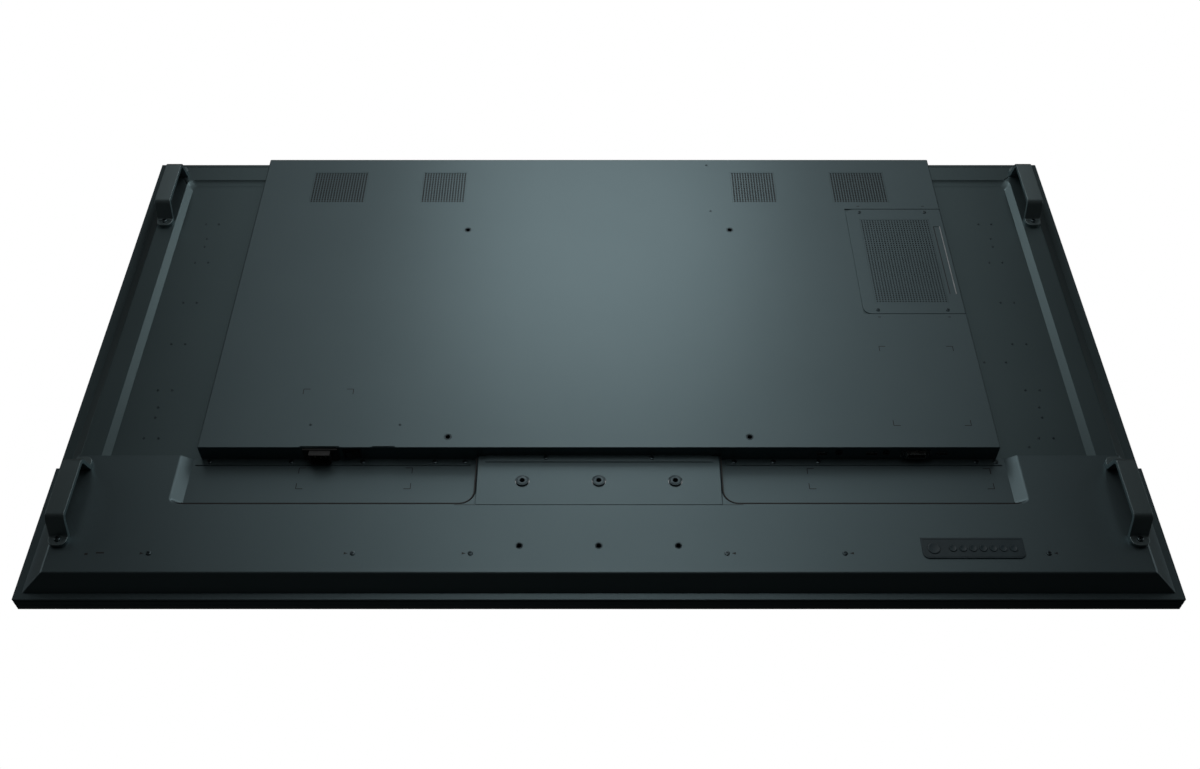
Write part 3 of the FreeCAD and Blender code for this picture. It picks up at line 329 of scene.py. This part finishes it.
def lathe(build, profile, centre, segments=28):
    """Spins a profile of (radius, level) points about an upright axis."""
    points = [build.verts.new((centre[0] + radius, centre[1], level)) for radius, level in profile]
    edges = [build.edges.new(pair) for pair in zip(points, points[1:])]
    bmesh.ops.spin(build, geom=points + edges, cent=(centre[0], centre[1], 0), axis=(0, 0, 1), dvec=(0, 0, 0),
                   angle=2 * math.pi, steps=segments, use_merge=True, use_duplicate=False)


def extrude(build, faces, travel):
    """Draws faces out along a vector."""
    made = bmesh.ops.extrude_face_region(build, geom=faces)
    drawn = [item for item in made["geom"] if isinstance(item, bmesh.types.BMVert)]
    bmesh.ops.translate(build, verts=drawn, vec=travel)


def quarter_turn(steps):
    """Evenly spaced angles from nought to a right angle."""
    return [math.pi / 2 * step / steps for step in range(steps + 1)]


def slab(build, low, high):
    """Adds a box between two corners."""
    size = Vector(high) - Vector(low)
    made = bmesh.ops.create_cube(build, size=1)
    bmesh.ops.scale(build, verts=made["verts"], vec=size)
    bmesh.ops.translate(build, verts=made["verts"], vec=(Vector(low) + Vector(high)) / 2)


def plate(build, outline, level, rise):
    """Raises a closed outline of (x, y) points from a level."""
    face = build.faces.new([build.verts.new((x, y, level)) for x, y in outline])
    extrude(build, [face], (0, 0, rise))


# ---------------------------------------------------------------- sheet-metal shells

def box_shell():
    """Electronics cover: folded steel with a tight fold round its back and a deburred lip."""
    low, high = span("electronics_cover")
    fold = at_level(high.z, along_x(high.x), along_y(high.y))
    lip = at_level(high.z, along_y(low.y))

    def corner(start, end):
        return all(near(abs(point.x), high.x) and near(point.y, high.y) for point in (start, end))

    rolled_shell("electronics_cover", [(1.6, lambda a, b: fold(a, b) or corner(a, b)), (0.5, lip)])


def lower_cover_shell():
    """Lower cover: rolled crest and corner ridges, and rolled rims round the two bays."""
    high = span("lower_cover")[1]
    crest = at_level(high.z, along_x(CREST_SIDE), along_y(CREST_FOOT))
    far_edge = along_y(high.y)
    reach, hole_facet, drop = 0.3, 2.2, 5

    def ridge(start, end):
        lower, upper = sorted((start, end), key=lambda point: point.z)
        at_corner = near(abs(upper.x), CREST_SIDE) and near(upper.y, CREST_FOOT)
        return at_corner and near(upper.z, high.z) and lower.z < high.z - drop

    def in_bay(start, end):
        if far_edge(start, end):
            return False
        return all(BAY_NEAR - reach < abs(point.x) < BAY_FAR + reach and BAY_LOW - reach < point.y
                   for point in (start, end))

    def no_hole(start, end):
        return (start - end).length > hole_facet or in_bay(start, end)

    rolled_shell("lower_cover", [
        (2.2, lambda a, b: (crest(a, b) and no_hole(a, b)) or ridge(a, b)),
        (1.6, at_level(high.z, in_bay)),
        (0.5, at_level(high.z, far_edge))])


def pan_shell():
    """Rear pan: a soft crest, and a tighter fold round its recess."""
    high = span("rear_pan")[1]
    crest = at_level(high.z, along_x(PAN_CREST_SIDE), along_y(PAN_CREST_TOP, PAN_CREST_FOOT))
    reach = 0.3

    def recess_rim(start, end):
        inside = all(abs(point.x) < RECESS_SIDE + reach and RECESS_FOOT - reach < point.y < RECESS_TOP + reach
                     for point in (start, end))
        return inside and (start - end).length > 0.2

    rolled_shell("rear_pan", [(1.8, crest), (0.5, at_level(high.z, recess_rim))])


def bezel_shells():
    """Bezel rails with their long edges eased."""
    for side in ("top", "bottom", "left", "right"):
        node = "bezel_rail_" + side
        low, high = span(node)

        def long_edge(start, end, levels=(low.z, high.z)):
            return near(start.z, *levels) and near(end.z, *levels) and (start - end).length > 100
        rolled_shell(node, [(0.45, long_edge)])


def bridge_plate_shell():
    """Stand bridge plate with its outline eased."""
    low, high = span("stand_bridge_plate")
    rolled_shell("stand_bridge_plate", [(0.4, at_level(high.z, along_x(high.x), along_y(low.y, high.y)))])


def option_cover_shell():
    """Option cover: a rolled outer edge, and the other edges eased."""
    low, high = span("option_cover")
    margin, outer_margin, shortest = 15, 5, 1.4

    def outline(start, end):
        inside_x = low.x + margin < start.x < high.x - outer_margin
        inside_y = low.y + margin < start.y < high.y - margin
        return not (inside_x and inside_y) and not near(start.x, high.x) and (start - end).length > shortest

    def outer_edge(start, end):
        return near(start.x, high.x) and near(end.x, high.x)

    rolled_shell("option_cover", [
        (1.6, at_level(high.z, outer_edge)),
        (0.4, at_level(high.z, outline))], body="option_cover")


def keypad_surround_shell():
    """Keypad surround with its outline eased and its key holes left crisp."""
    low, high = span("keypad_surround")
    corner_reach, corner_top, longest_facet = 9, 8.2, 15

    def at_side(point):
        return near(point.x, low.x, high.x, reach=corner_reach) or near(point.y, low.y, high.y)

    def outline(start, end):
        at_end = start.y < low.y + corner_top or start.y > high.y - 1
        return at_side(start) and at_side(end) and (at_end or (start - end).length > longest_facet)

    rolled_shell("keypad_surround", [(0.7, at_level(high.z, outline))])


# ---------------------------------------------------------------- grilles

def grille(node, body=STATIC, pitch=4.2, bar=1.9, tie=0.9, sink=0.5):
    """A punched grille: upright bars with thinner ties sunk between them, over a black sheet that paints the
    shade inside the holes.
    """
    low, high = span(node)
    rim = pitch / 2
    build = bmesh.new()
    slab(build, (low.x, low.y, low.z), (low.x + rim, high.y, high.z))
    slab(build, (high.x - rim, low.y, low.z), (high.x, high.y, high.z))
    slab(build, (low.x + rim, low.y, low.z), (high.x - rim, low.y + rim, high.z))
    slab(build, (low.x + rim, high.y - rim, low.z), (high.x - rim, high.y, high.z))
    columns = round((high.x - low.x - 2 * rim + bar) / pitch)
    step = (high.x - low.x - 2 * rim + bar) / columns
    for column in range(1, columns):
        x = low.x + rim - bar + column * step
        slab(build, (x, low.y + rim, low.z), (x + bar, high.y - rim, high.z))
    rows = round((high.y - low.y - 2 * rim + tie) / pitch)
    rise = (high.y - low.y - 2 * rim + tie) / rows
    for row in range(1, rows):
        y = low.y + rim - tie + row * rise
        slab(build, (low.x + rim, y, low.z), (high.x - rim, y + tie, high.z - sink))
    finish_piece(build, node + "_bars", SLOTS[node], body, (node,), flat=False)
    # the black sheet under the bars is painted shade: it darkens the holes, where only shade falls
    thick, gap = 0.3, 0.05
    build = bmesh.new()
    slab(build, (low.x, low.y, low.z - gap - thick), (high.x, high.y, low.z - gap))
    finish_piece(build, node + "_painted_shade_sheet", "connector_black", body, flat=False)


# ---------------------------------------------------------------- handles

def bend_handle(node):
    """A flat steel strap bent into a grip, with rolled edges and rounded feet."""
    low, high = span(node)
    thick, foot, lean, inner = 5.5, 14, 10, 4
    knee, shoulder = foot + inner, foot + lean + inner
    rising = [(low.y, low.z), (low.y + knee, low.z), (low.y + shoulder, high.z - thick)]
    falling = [(high.y - shoulder, high.z - thick), (high.y - knee, low.z), (high.y, low.z)]
    back = [(high.y, low.z + thick), (high.y - foot, low.z + thick), (high.y - foot - lean, high.z),
            (low.y + foot + lean, high.z), (low.y + foot, low.z + thick), (low.y, low.z + thick)]
    build = bmesh.new()
    width = high.x - low.x
    side = build.faces.new([build.verts.new((low.x, y, z)) for y, z in rising + falling + back])
    extrude(build, [side], (width, 0, 0))

    def across(start, end):
        return near(abs(start.x - end.x), width)

    def bend_at(level):
        return lambda a, b: across(a, b) and near(a.z, level) and low.y + 1 < a.y < high.y - 1

    def foot_corner(start, end):
        return near(start.x, end.x) and near(start.y, end.y) and near(start.y, low.y, high.y)

    foot_radius, edge_radius = 9.5, 1.9
    roll_edges(build, 6.5, bend_at(high.z), 6)
    roll_edges(build, 3.2, bend_at(high.z - thick), 5)
    roll_edges(build, 2.2, bend_at(low.z + thick), 4)
    roll_edges(build, foot_radius, foot_corner, 6)

    def side_rim(edge):
        normals = [abs(face.normal.x) for face in edge.link_faces]
        return len(normals) == 2 and max(normals) > 0.9 and min(normals) < 0.75

    def foot_rim(edge):
        ends = [vertex.co for vertex in edge.verts]
        at_top = all(near(end.z, low.z + thick) for end in ends)
        reach = foot_radius + 0.3
        at_foot = min(end.y for end in ends) < low.y + reach or max(end.y for end in ends) > high.y - reach
        return len(edge.link_faces) == 2 and at_top and at_foot and edge.calc_face_angle(0) > 1.0

    build.normal_update()
    picked = [edge for edge in build.edges if side_rim(edge)]
    picked += [edge for edge in build.edges if foot_rim(edge) and not side_rim(edge)]
    bmesh.ops.bevel(build, geom=picked, offset=edge_radius, offset_type="OFFSET", segments=5, profile=0.5,
                    affect="EDGES", clamp_overlap=True, material=-1)
    finish_piece(build, node + "_strap", SLOTS[node], STATIC, (node,), 28)


# ---------------------------------------------------------------- turned pieces and screws

def cross_screw(build, centre, seat, top, radius, shank, foot, turn):
    """A pan-head screw with a tapered cross recess: head from seat to top, shank down to a foot."""
    rise = top - seat
    to_axis = Matrix.Translation((-centre[0], -centre[1], 0))
    made = bmesh.ops.create_circle(build, cap_ends=False, radius=shank, segments=24)
    ring = list(dict.fromkeys(edge for vertex in made["verts"] for edge in vertex.link_edges))
    bmesh.ops.translate(build, verts=made["verts"], vec=(centre[0], centre[1], foot))
    bmesh.ops.contextual_create(build, geom=ring)
    current, level, size = ring, foot, shank
    for next_size, next_level in ((shank, seat), (radius, seat), (radius, seat + 0.35 * rise),
                                  (0.9 * radius, seat + 0.75 * rise), (0.68 * radius, top)):
        out = bmesh.ops.extrude_edge_only(build, edges=current)
        points = [item for item in out["geom"] if isinstance(item, bmesh.types.BMVert)]
        bmesh.ops.translate(build, verts=points, vec=(0, 0, next_level - level))
        bmesh.ops.scale(build, verts=points, vec=(next_size / size, next_size / size, 1), space=to_axis)
        current = [item for item in out["geom"] if isinstance(item, bmesh.types.BMEdge)
                   and all(vertex in points for vertex in item.verts)]
        level, size = next_level, next_size
    arm, half = 0.5 * radius, 0.13 * radius
    spokes = []
    for quarter in range(4):
        angle = turn + quarter * math.pi / 2
        forward = Vector((math.cos(angle), math.sin(angle), 0))
        left = Vector((-forward.y, forward.x, 0))
        spokes += [half * forward - half * left, arm * forward - half * left, arm * forward + half * left]
    corners = [build.verts.new(Vector((centre[0], centre[1], top)) + spoke) for spoke in spokes]
    cross = [build.edges.new(pair) for pair in zip(corners, corners[1:] + corners[:1])]
    bmesh.ops.triangle_fill(build, use_beauty=True, edges=current + cross)
    out = bmesh.ops.extrude_edge_only(build, edges=cross)
    points = [item for item in out["geom"] if isinstance(item, bmesh.types.BMVert)]
    bmesh.ops.translate(build, verts=points, vec=(0, 0, -0.8 * rise))
    bmesh.ops.scale(build, verts=points, vec=(0.7, 0.7, 1), space=to_axis)
    floor = [item for item in out["geom"] if isinstance(item, bmesh.types.BMEdge)
             and all(vertex in points for vertex in item.verts)]
    bmesh.ops.contextual_create(build, geom=floor)


def screw_set(node, shank, body=STATIC, rise=1.2):
    """Cross-recess screws where a CAD node has its plain ones, each turned its own way."""
    build = bmesh.new()
    for number, (low, high) in enumerate(solids(node)):
        centre = (low + high) / 2
        cross_screw(build, centre, high.z - rise, high.z, (high.x - low.x) / 2, shank, low.z, 0.7 * number)
    finish_piece(build, node + "_heads", SLOTS[node], body, (node,), 28)


def turned_set(node, shape, name):
    """Turned bushes where a CAD node has plain ones; shape gives (radius, level) points for one bush."""
    build = bmesh.new()
    for low, high in solids(node):
        lathe(build, shape((high.x - low.x) / 2, low.z, high.z), (low + high) / 2)
    bmesh.ops.remove_doubles(build, verts=build.verts, dist=0.001)
    finish_piece(build, name, SLOTS[node], STATIC, (node,), 28)


def bore_and_rim(radius, foot, top):
    """Closed outline of a threaded bush: a capped bore with a countersunk mouth, and a chamfered rim."""
    bore, depth = 3, 0.75 * (top - foot)
    return [(0, top - depth), (bore, top - depth), (bore, top - 0.6), (bore + 0.6, top), (radius - 0.45, top),
            (radius, top - 0.45), (radius, foot), (0, foot)]


def boss_shape(radius, foot, top):
    """A seated boss: its rim carries a fine turned groove."""
    outline = bore_and_rim(radius, foot, top)
    groove = [(0.8 * radius - 0.35, top), (0.8 * radius, top - 0.35), (0.8 * radius + 0.35, top)]
    return outline[:4] + groove + outline[4:]


def push_button(node):
    """A moulded key: a shallow dish inside a rounded rim, on a hidden flange."""
    low, high = span(node)
    centre = (low + high) / 2
    lip, flange = 0.9, 0.8
    radius = (high.x - low.x) / 2 - lip
    build = bmesh.new()
    lathe(build, [(0, high.z - 0.5), (0.5 * radius, high.z - 0.42), (0.78 * radius, high.z - 0.12),
                  (0.88 * radius, high.z), (0.96 * radius, high.z - 0.1), (radius, high.z - 0.45),
                  (radius, low.z + flange), (radius + lip, low.z + flange), (radius + lip, low.z),
                  (0, low.z)],
          centre, 36)
    bmesh.ops.remove_doubles(build, verts=build.verts, dist=0.001)
    finish_piece(build, node + "_cap", SLOTS[node], node, (node,), 40, flat=False)


# ---------------------------------------------------------------- marks and trim

def corner_mark(build, x, y, level, right, up, arm=9, stroke=1.0, rise=0.06):
    """A printed bracket at a label's corner: an arm to the right or left and an arm up or down."""
    half = stroke / 2
    across, along = sorted((x, x + right * arm)), sorted((y, y + up * arm))
    slab(build, (across[0], y - half, level), (across[1], y + half, level + rise))
    slab(build, (x - half, along[0], level), (x + half, along[1], level + rise))


def label_brackets():
    """Printed brackets where the rating and serial labels go."""
    box_back = span("electronics_cover")[1].z
    bay_floor = span("port_panel_left")[0].z
    build = bmesh.new()
    fields = [(394, 497.5, 237.6, 379.5, box_back, (-1, 1)), (-403, -335, 239, 301, box_back, (1,)),
              (-397, -247, 154, 188, bay_floor, (-1, 1)), (276, 518, 154, 187, bay_floor, (-1, 1))]
    for left, right, low, top, level, ends in fields:
        for end in ends:
            for x, way in ((left, 1), (right, -1)):
                corner_mark(build, x, top if end > 0 else low, level, way, -end)
    finish_piece(build, "label_brackets", "connector_black")


def pan_rivets():
    """Small clinched rivets down both sides of the pan's floor, and a few on the covers."""
    box_back = span("electronics_cover")[1].z
    rivet = [(0, 0.1), (0.7, 0.1), (1.0, 0.5), (1.5, 0.45), (1.9, 0.0), (1.9, -0.4), (0, -0.4)]
    build = bmesh.new()
    rows = [(across, up) for across in (598.5, 618.5) for up in (244, 329, 416, 499, 584, 670)]
    rows += [(611, up) for up in (280, 298, 619, 637)]
    places = [(side * across, up, PAN_FLOOR) for across, up in rows for side in (-1, 1)]
    places += [(x, y, PAN_FLOOR) for x, y in ((551, 381), (582, 381), (582, 229))]
    places += [(x, y, box_back) for x, y in ((-385, 239), (-265.5, 239), (172.5, 769.5), (173, 661))]
    for x, y, level in places:
        lathe(build, [(radius, level + rise) for radius, rise in rivet], (x, y), 14)
    bmesh.ops.remove_doubles(build, verts=build.verts, dist=0.001)
    finish_piece(build, "clinched_rivets", "screw_steel")


def screw_arrows():
    """A small arrow beside each screw that holds the lower cover, and a dash beside the option cover's."""
    cover_back, box_back = span("lower_cover")[1].z, span("electronics_cover")[1].z
    build = bmesh.new()
    offset, length, half, rise = 8.5, 5, 1.8, 0.12
    for low, high in solids("lower_cover_screws"):
        centre = (low + high) / 2
        way = 1 if centre.x > 0 else -1
        tip = centre.x + way * (offset - length / 2)
        tail = tip + way * length
        plate(build, [(tip, centre.y), (tail, centre.y - half), (tail, centre.y + half)], cover_back, rise)
    slot_low, slot_high = span("option_cover")
    for low, high in solids("option_cover_screws"):
        centre = (low + high) / 2
        y = slot_high.y + 7 if centre.y > (slot_low.y + slot_high.y) / 2 else slot_low.y - 7
        slab(build, (centre.x - 2, y - 0.6, box_back), (centre.x + 2, y + 0.6, box_back + rise))
    finish_piece(build, "screw_marks", "connector_black")


def cover_slots():
    """A cable-tie slot near the lower cover's left end, with its mark, and the seam past the bridge plate."""
    level, rise = span("lower_cover")[1].z, 0.05
    bridge_low, bridge_high = span("stand_bridge_plate")
    build = bmesh.new()
    slab(build, (-629, 48.7, level), (-619, 50.9, level + rise))
    slab(build, (-643, 46.5, level), (-639, 49.5, level + rise))
    for side in (-1, 1):
        ends = sorted((side * (bridge_high.x + 0.8), side * (bridge_high.x + 27)))
        slab(build, (ends[0], bridge_low.y - 0.8, level), (ends[1], bridge_low.y, level + rise))
    finish_piece(build, "cover_slots", "connector_black")


def pull_channel():
    """The finger channel along the option cover's outer side: a black strip of painted shade at its inner
    edge, and a bright zinc strip of painted highlight at its outer lip.
    """
    level = span("option_cover")[1].z
    low, high = 482, 626
    # the black strip paints the shade of the inner edge; the bright zinc strip paints the highlight on the
    # outer lip
    for name, slot, left, right, rise in (("pull_channel_shade", "connector_black", 512, 513.2, 0.05),
                                          ("pull_channel_highlight", "zinc_steel", 521, 522.4, 0.3)):
        build = bmesh.new()
        slab(build, (left, low, level - 0.1), (right, high, level + rise))
        finish_piece(build, name, slot, "option_cover", flat=False)


def bay_painted_shadows():
    """Black strips along the inner and lower walls of both bays, round their large corner: painted shadow at
    the foot of the walls.
    """
    thick, gap, top, far_end = 1.6, 0.1, 199, 546
    foot, crown = 44.2, span("lower_cover")[1].z - 0.5
    inner = BAY_CORNER - thick
    turns = quarter_turn(10)
    centre_x, centre_y = BAY_NEAR + BAY_CORNER, BAY_LOW + BAY_CORNER
    wall_side = [(centre_x + gap - BAY_CORNER * math.cos(turn), centre_y + gap - BAY_CORNER * math.sin(turn))
                 for turn in turns]
    open_side = [(centre_x - inner * math.cos(turn), centre_y - inner * math.sin(turn))
                 for turn in reversed(turns)]
    ends = [(far_end, BAY_LOW + gap), (far_end, BAY_LOW + thick)]
    outline = [(BAY_NEAR + gap, top)] + wall_side + ends + open_side + [(BAY_NEAR + thick, top)]
    # each black strip is painted shadow: it darkens the bay floor's edge along the walls
    for side, name in ((-1, "bay_shadow_strip_left"), (1, "bay_shadow_strip_right")):
        build = bmesh.new()
        plate(build, [(side * x, y) for x, y in outline], foot, crown - foot)
        finish_piece(build, name, "connector_black", sharp=30)


def keypad_rim():
    """A fine raised rim round the keypad, just inside its edge, with large lower corners."""
    low, high = span("keypad_surround")
    inset, corner, width, rise, sink = 2.0, 6.0, 0.8, 0.3, 0.05
    build = bmesh.new()
    edges = []
    for margin in (inset, inset + width):
        radius = corner + inset - margin
        left, right, top = low.x + margin, high.x - margin, high.y - margin
        foot = low.y + margin + radius
        arc = [(radius * (1 - math.cos(turn)), foot - radius * math.sin(turn)) for turn in quarter_turn(6)]
        outline = [(right, top)] + [(right - x, y) for x, y in arc]
        outline += [(left + x, y) for x, y in reversed(arc)] + [(left, top)]
        points = [build.verts.new((x, y, high.z - sink)) for x, y in outline]
        edges += [build.edges.new(pair) for pair in zip(points, points[1:] + points[:1])]
    bmesh.ops.bridge_loops(build, edges=edges)
    extrude(build, build.faces[:], (0, 0, rise))
    finish_piece(build, "keypad_rim", "key_plastic", sharp=60)


box_shell()
lower_cover_shell()
pan_shell()
bezel_shells()
bridge_plate_shell()
option_cover_shell()
keypad_surround_shell()
for height in ("lower", "upper"):
    for side in ("left", "right"):
        bend_handle(f"handle_{height}_{side}")
screw_set("lower_cover_screws", 1.6)
screw_set("port_panel_screws", 1.6)
screw_set("handle_screws", 2.3, rise=2.2)
screw_set("option_cover_screws", 1.6, body="option_cover", rise=0.9)
turned_set("vesa_inserts", bore_and_rim, "vesa_insert_bushes")
turned_set("stand_inserts", bore_and_rim, "stand_insert_bushes")
turned_set("stand_bosses", boss_shape, "stand_boss_bushes")
push_button("power_button")
for number in range(1, 8):
    push_button(f"key_button_{number}")
for reach in ("inner", "outer"):
    for side in ("left", "right"):
        grille(f"vent_grille_{reach}_{side}")
grille("option_cover_grille", "option_cover", bar=2.3, tie=1.7, sink=0.3)
label_brackets()
pan_rivets()
screw_arrows()
cover_slots()
keypad_rim()
pull_channel()
bay_painted_shadows()


# ---------------------------------------------------------------- camera, lights, floor

def stand_vector(x, y, z):
    """A point drawn lying, in millimetres, as it stands in the frame."""
    return UPRIGHT @ Vector((x, y, z))


def add_light(name, place, target, width, depth, power, colour="#FFFFFF"):
    """A rectangular soft light, placed and aimed as the display lies."""
    data = bpy.data.lights.new(name, "AREA")
    data.shape = "RECTANGLE"
    data.size, data.size_y = width, depth
    data.energy = power
    data.color = linear(colour)[:3]
    lamp = bpy.data.objects.new(name, data)
    bpy.context.scene.collection.objects.link(lamp)
    lamp.location = stand_vector(*place)
    lamp.rotation_mode = "QUATERNION"
    lamp.rotation_quaternion = (stand_vector(*target) - lamp.location).to_track_quat("-Z", "Y")


def add_camera():
    """The camera looks at the back from below the bottom edge."""
    data = bpy.data.cameras.new("camera")
    data.lens, data.sensor_width, data.sensor_fit = 38.1, 36.0, "HORIZONTAL"
    data.shift_x = 0.001
    camera = bpy.data.objects.new("camera", data)
    bpy.context.scene.collection.objects.link(camera)
    tilt = math.radians(49.82)
    back = Vector((0, math.sin(tilt), -math.cos(tilt)))
    up = Vector((0, math.cos(tilt), math.sin(tilt)))
    right = up.cross(back)
    turned = Matrix((right, up, back)).transposed().to_4x4()
    camera.matrix_world = Matrix.Translation(stand_vector(0, -814.3, 1402.4)) @ turned
    bpy.context.scene.camera = camera


def add_surroundings():
    """A floor well below the display, and a surround. The camera sees both pale, and they light it dimly."""
    floor_level, floor_half = -1.75, 9.0
    build = bmesh.new()
    bmesh.ops.create_grid(build, x_segments=1, y_segments=1, size=floor_half)
    bmesh.ops.translate(build, verts=build.verts, vec=(0, 0, floor_level))
    mesh = bpy.data.meshes.new("floor")
    build.to_mesh(mesh)
    build.free()
    floor = bpy.data.objects.new("floor", mesh)
    bpy.context.scene.collection.objects.link(floor)
    material, tree, shader, place = new_material("pale_studio_floor")
    tree.links.new(mottled(tree, place, 400, "#303232", "#343636"), shader.inputs["Base Color"])
    set_shader(shader, Roughness=0.8)
    lit = add_node(tree, "Emission", Color=linear("#E4E6E6"), Strength=0.85)
    direct = add_node(tree, "LightPath")
    blend = add_node(tree, "MixShader", Fac=direct.outputs["Is Camera Ray"])
    tree.links.new(shader.outputs[0], blend.inputs[1])
    tree.links.new(lit.outputs[0], blend.inputs[2])
    output = next(node for node in tree.nodes if node.type == "OUTPUT_MATERIAL")
    tree.links.new(blend.outputs[0], output.inputs["Surface"])
    mesh.materials.append(material)

    world = bpy.data.worlds.new("studio")
    bpy.context.scene.world = world
    world.use_nodes = True
    tree = world.node_tree
    output = next(node for node in tree.nodes if node.type == "OUTPUT_WORLD")
    seen = next(node for node in tree.nodes if node.type == "BACKGROUND")
    seen.inputs["Color"].default_value = linear("#FFFFFF")
    seen.inputs["Strength"].default_value = 1.0
    dim = add_node(tree, "Background", Color=linear("#FFFFFF"), Strength=0.026)
    path = add_node(tree, "LightPath")
    mix = add_node(tree, "MixShader", Fac=path.outputs["Is Camera Ray"])
    tree.links.new(dim.outputs[0], mix.inputs[1])
    tree.links.new(seen.outputs[0], mix.inputs[2])
    tree.links.new(mix.outputs[0], output.inputs["Surface"])


add_camera()
add_surroundings()
for light_name, light_place, light_width, light_depth, light_power in (
        ("softbox_top_wide", (0, 1250, 1000), 2.0, 1.5, 3.4),
        ("softbox_top", (0, 1350, 900), 0.7, 0.7, 2.4),
        ("softbox_behind", (0, 420, 1500), 0.8, 0.7, 2.4),
        ("side_strip_left", (-1800, 500, 420), 0.9, 0.9, 1.4),
        ("side_strip_right", (1800, 500, 420), 0.9, 0.9, 1.6),
        ("fill_near_camera", (0, -900, 1700), 0.9, 0.9, 0.3)):
    add_light(light_name, light_place, (0, 430, 60), light_width, light_depth, light_power)
add_light("softbox_before_screen", (-1300, 1500, -2600), (0, 420, 0), 2.4, 1.6, 60)
bpy.context.scene.view_settings.view_transform = "Standard"
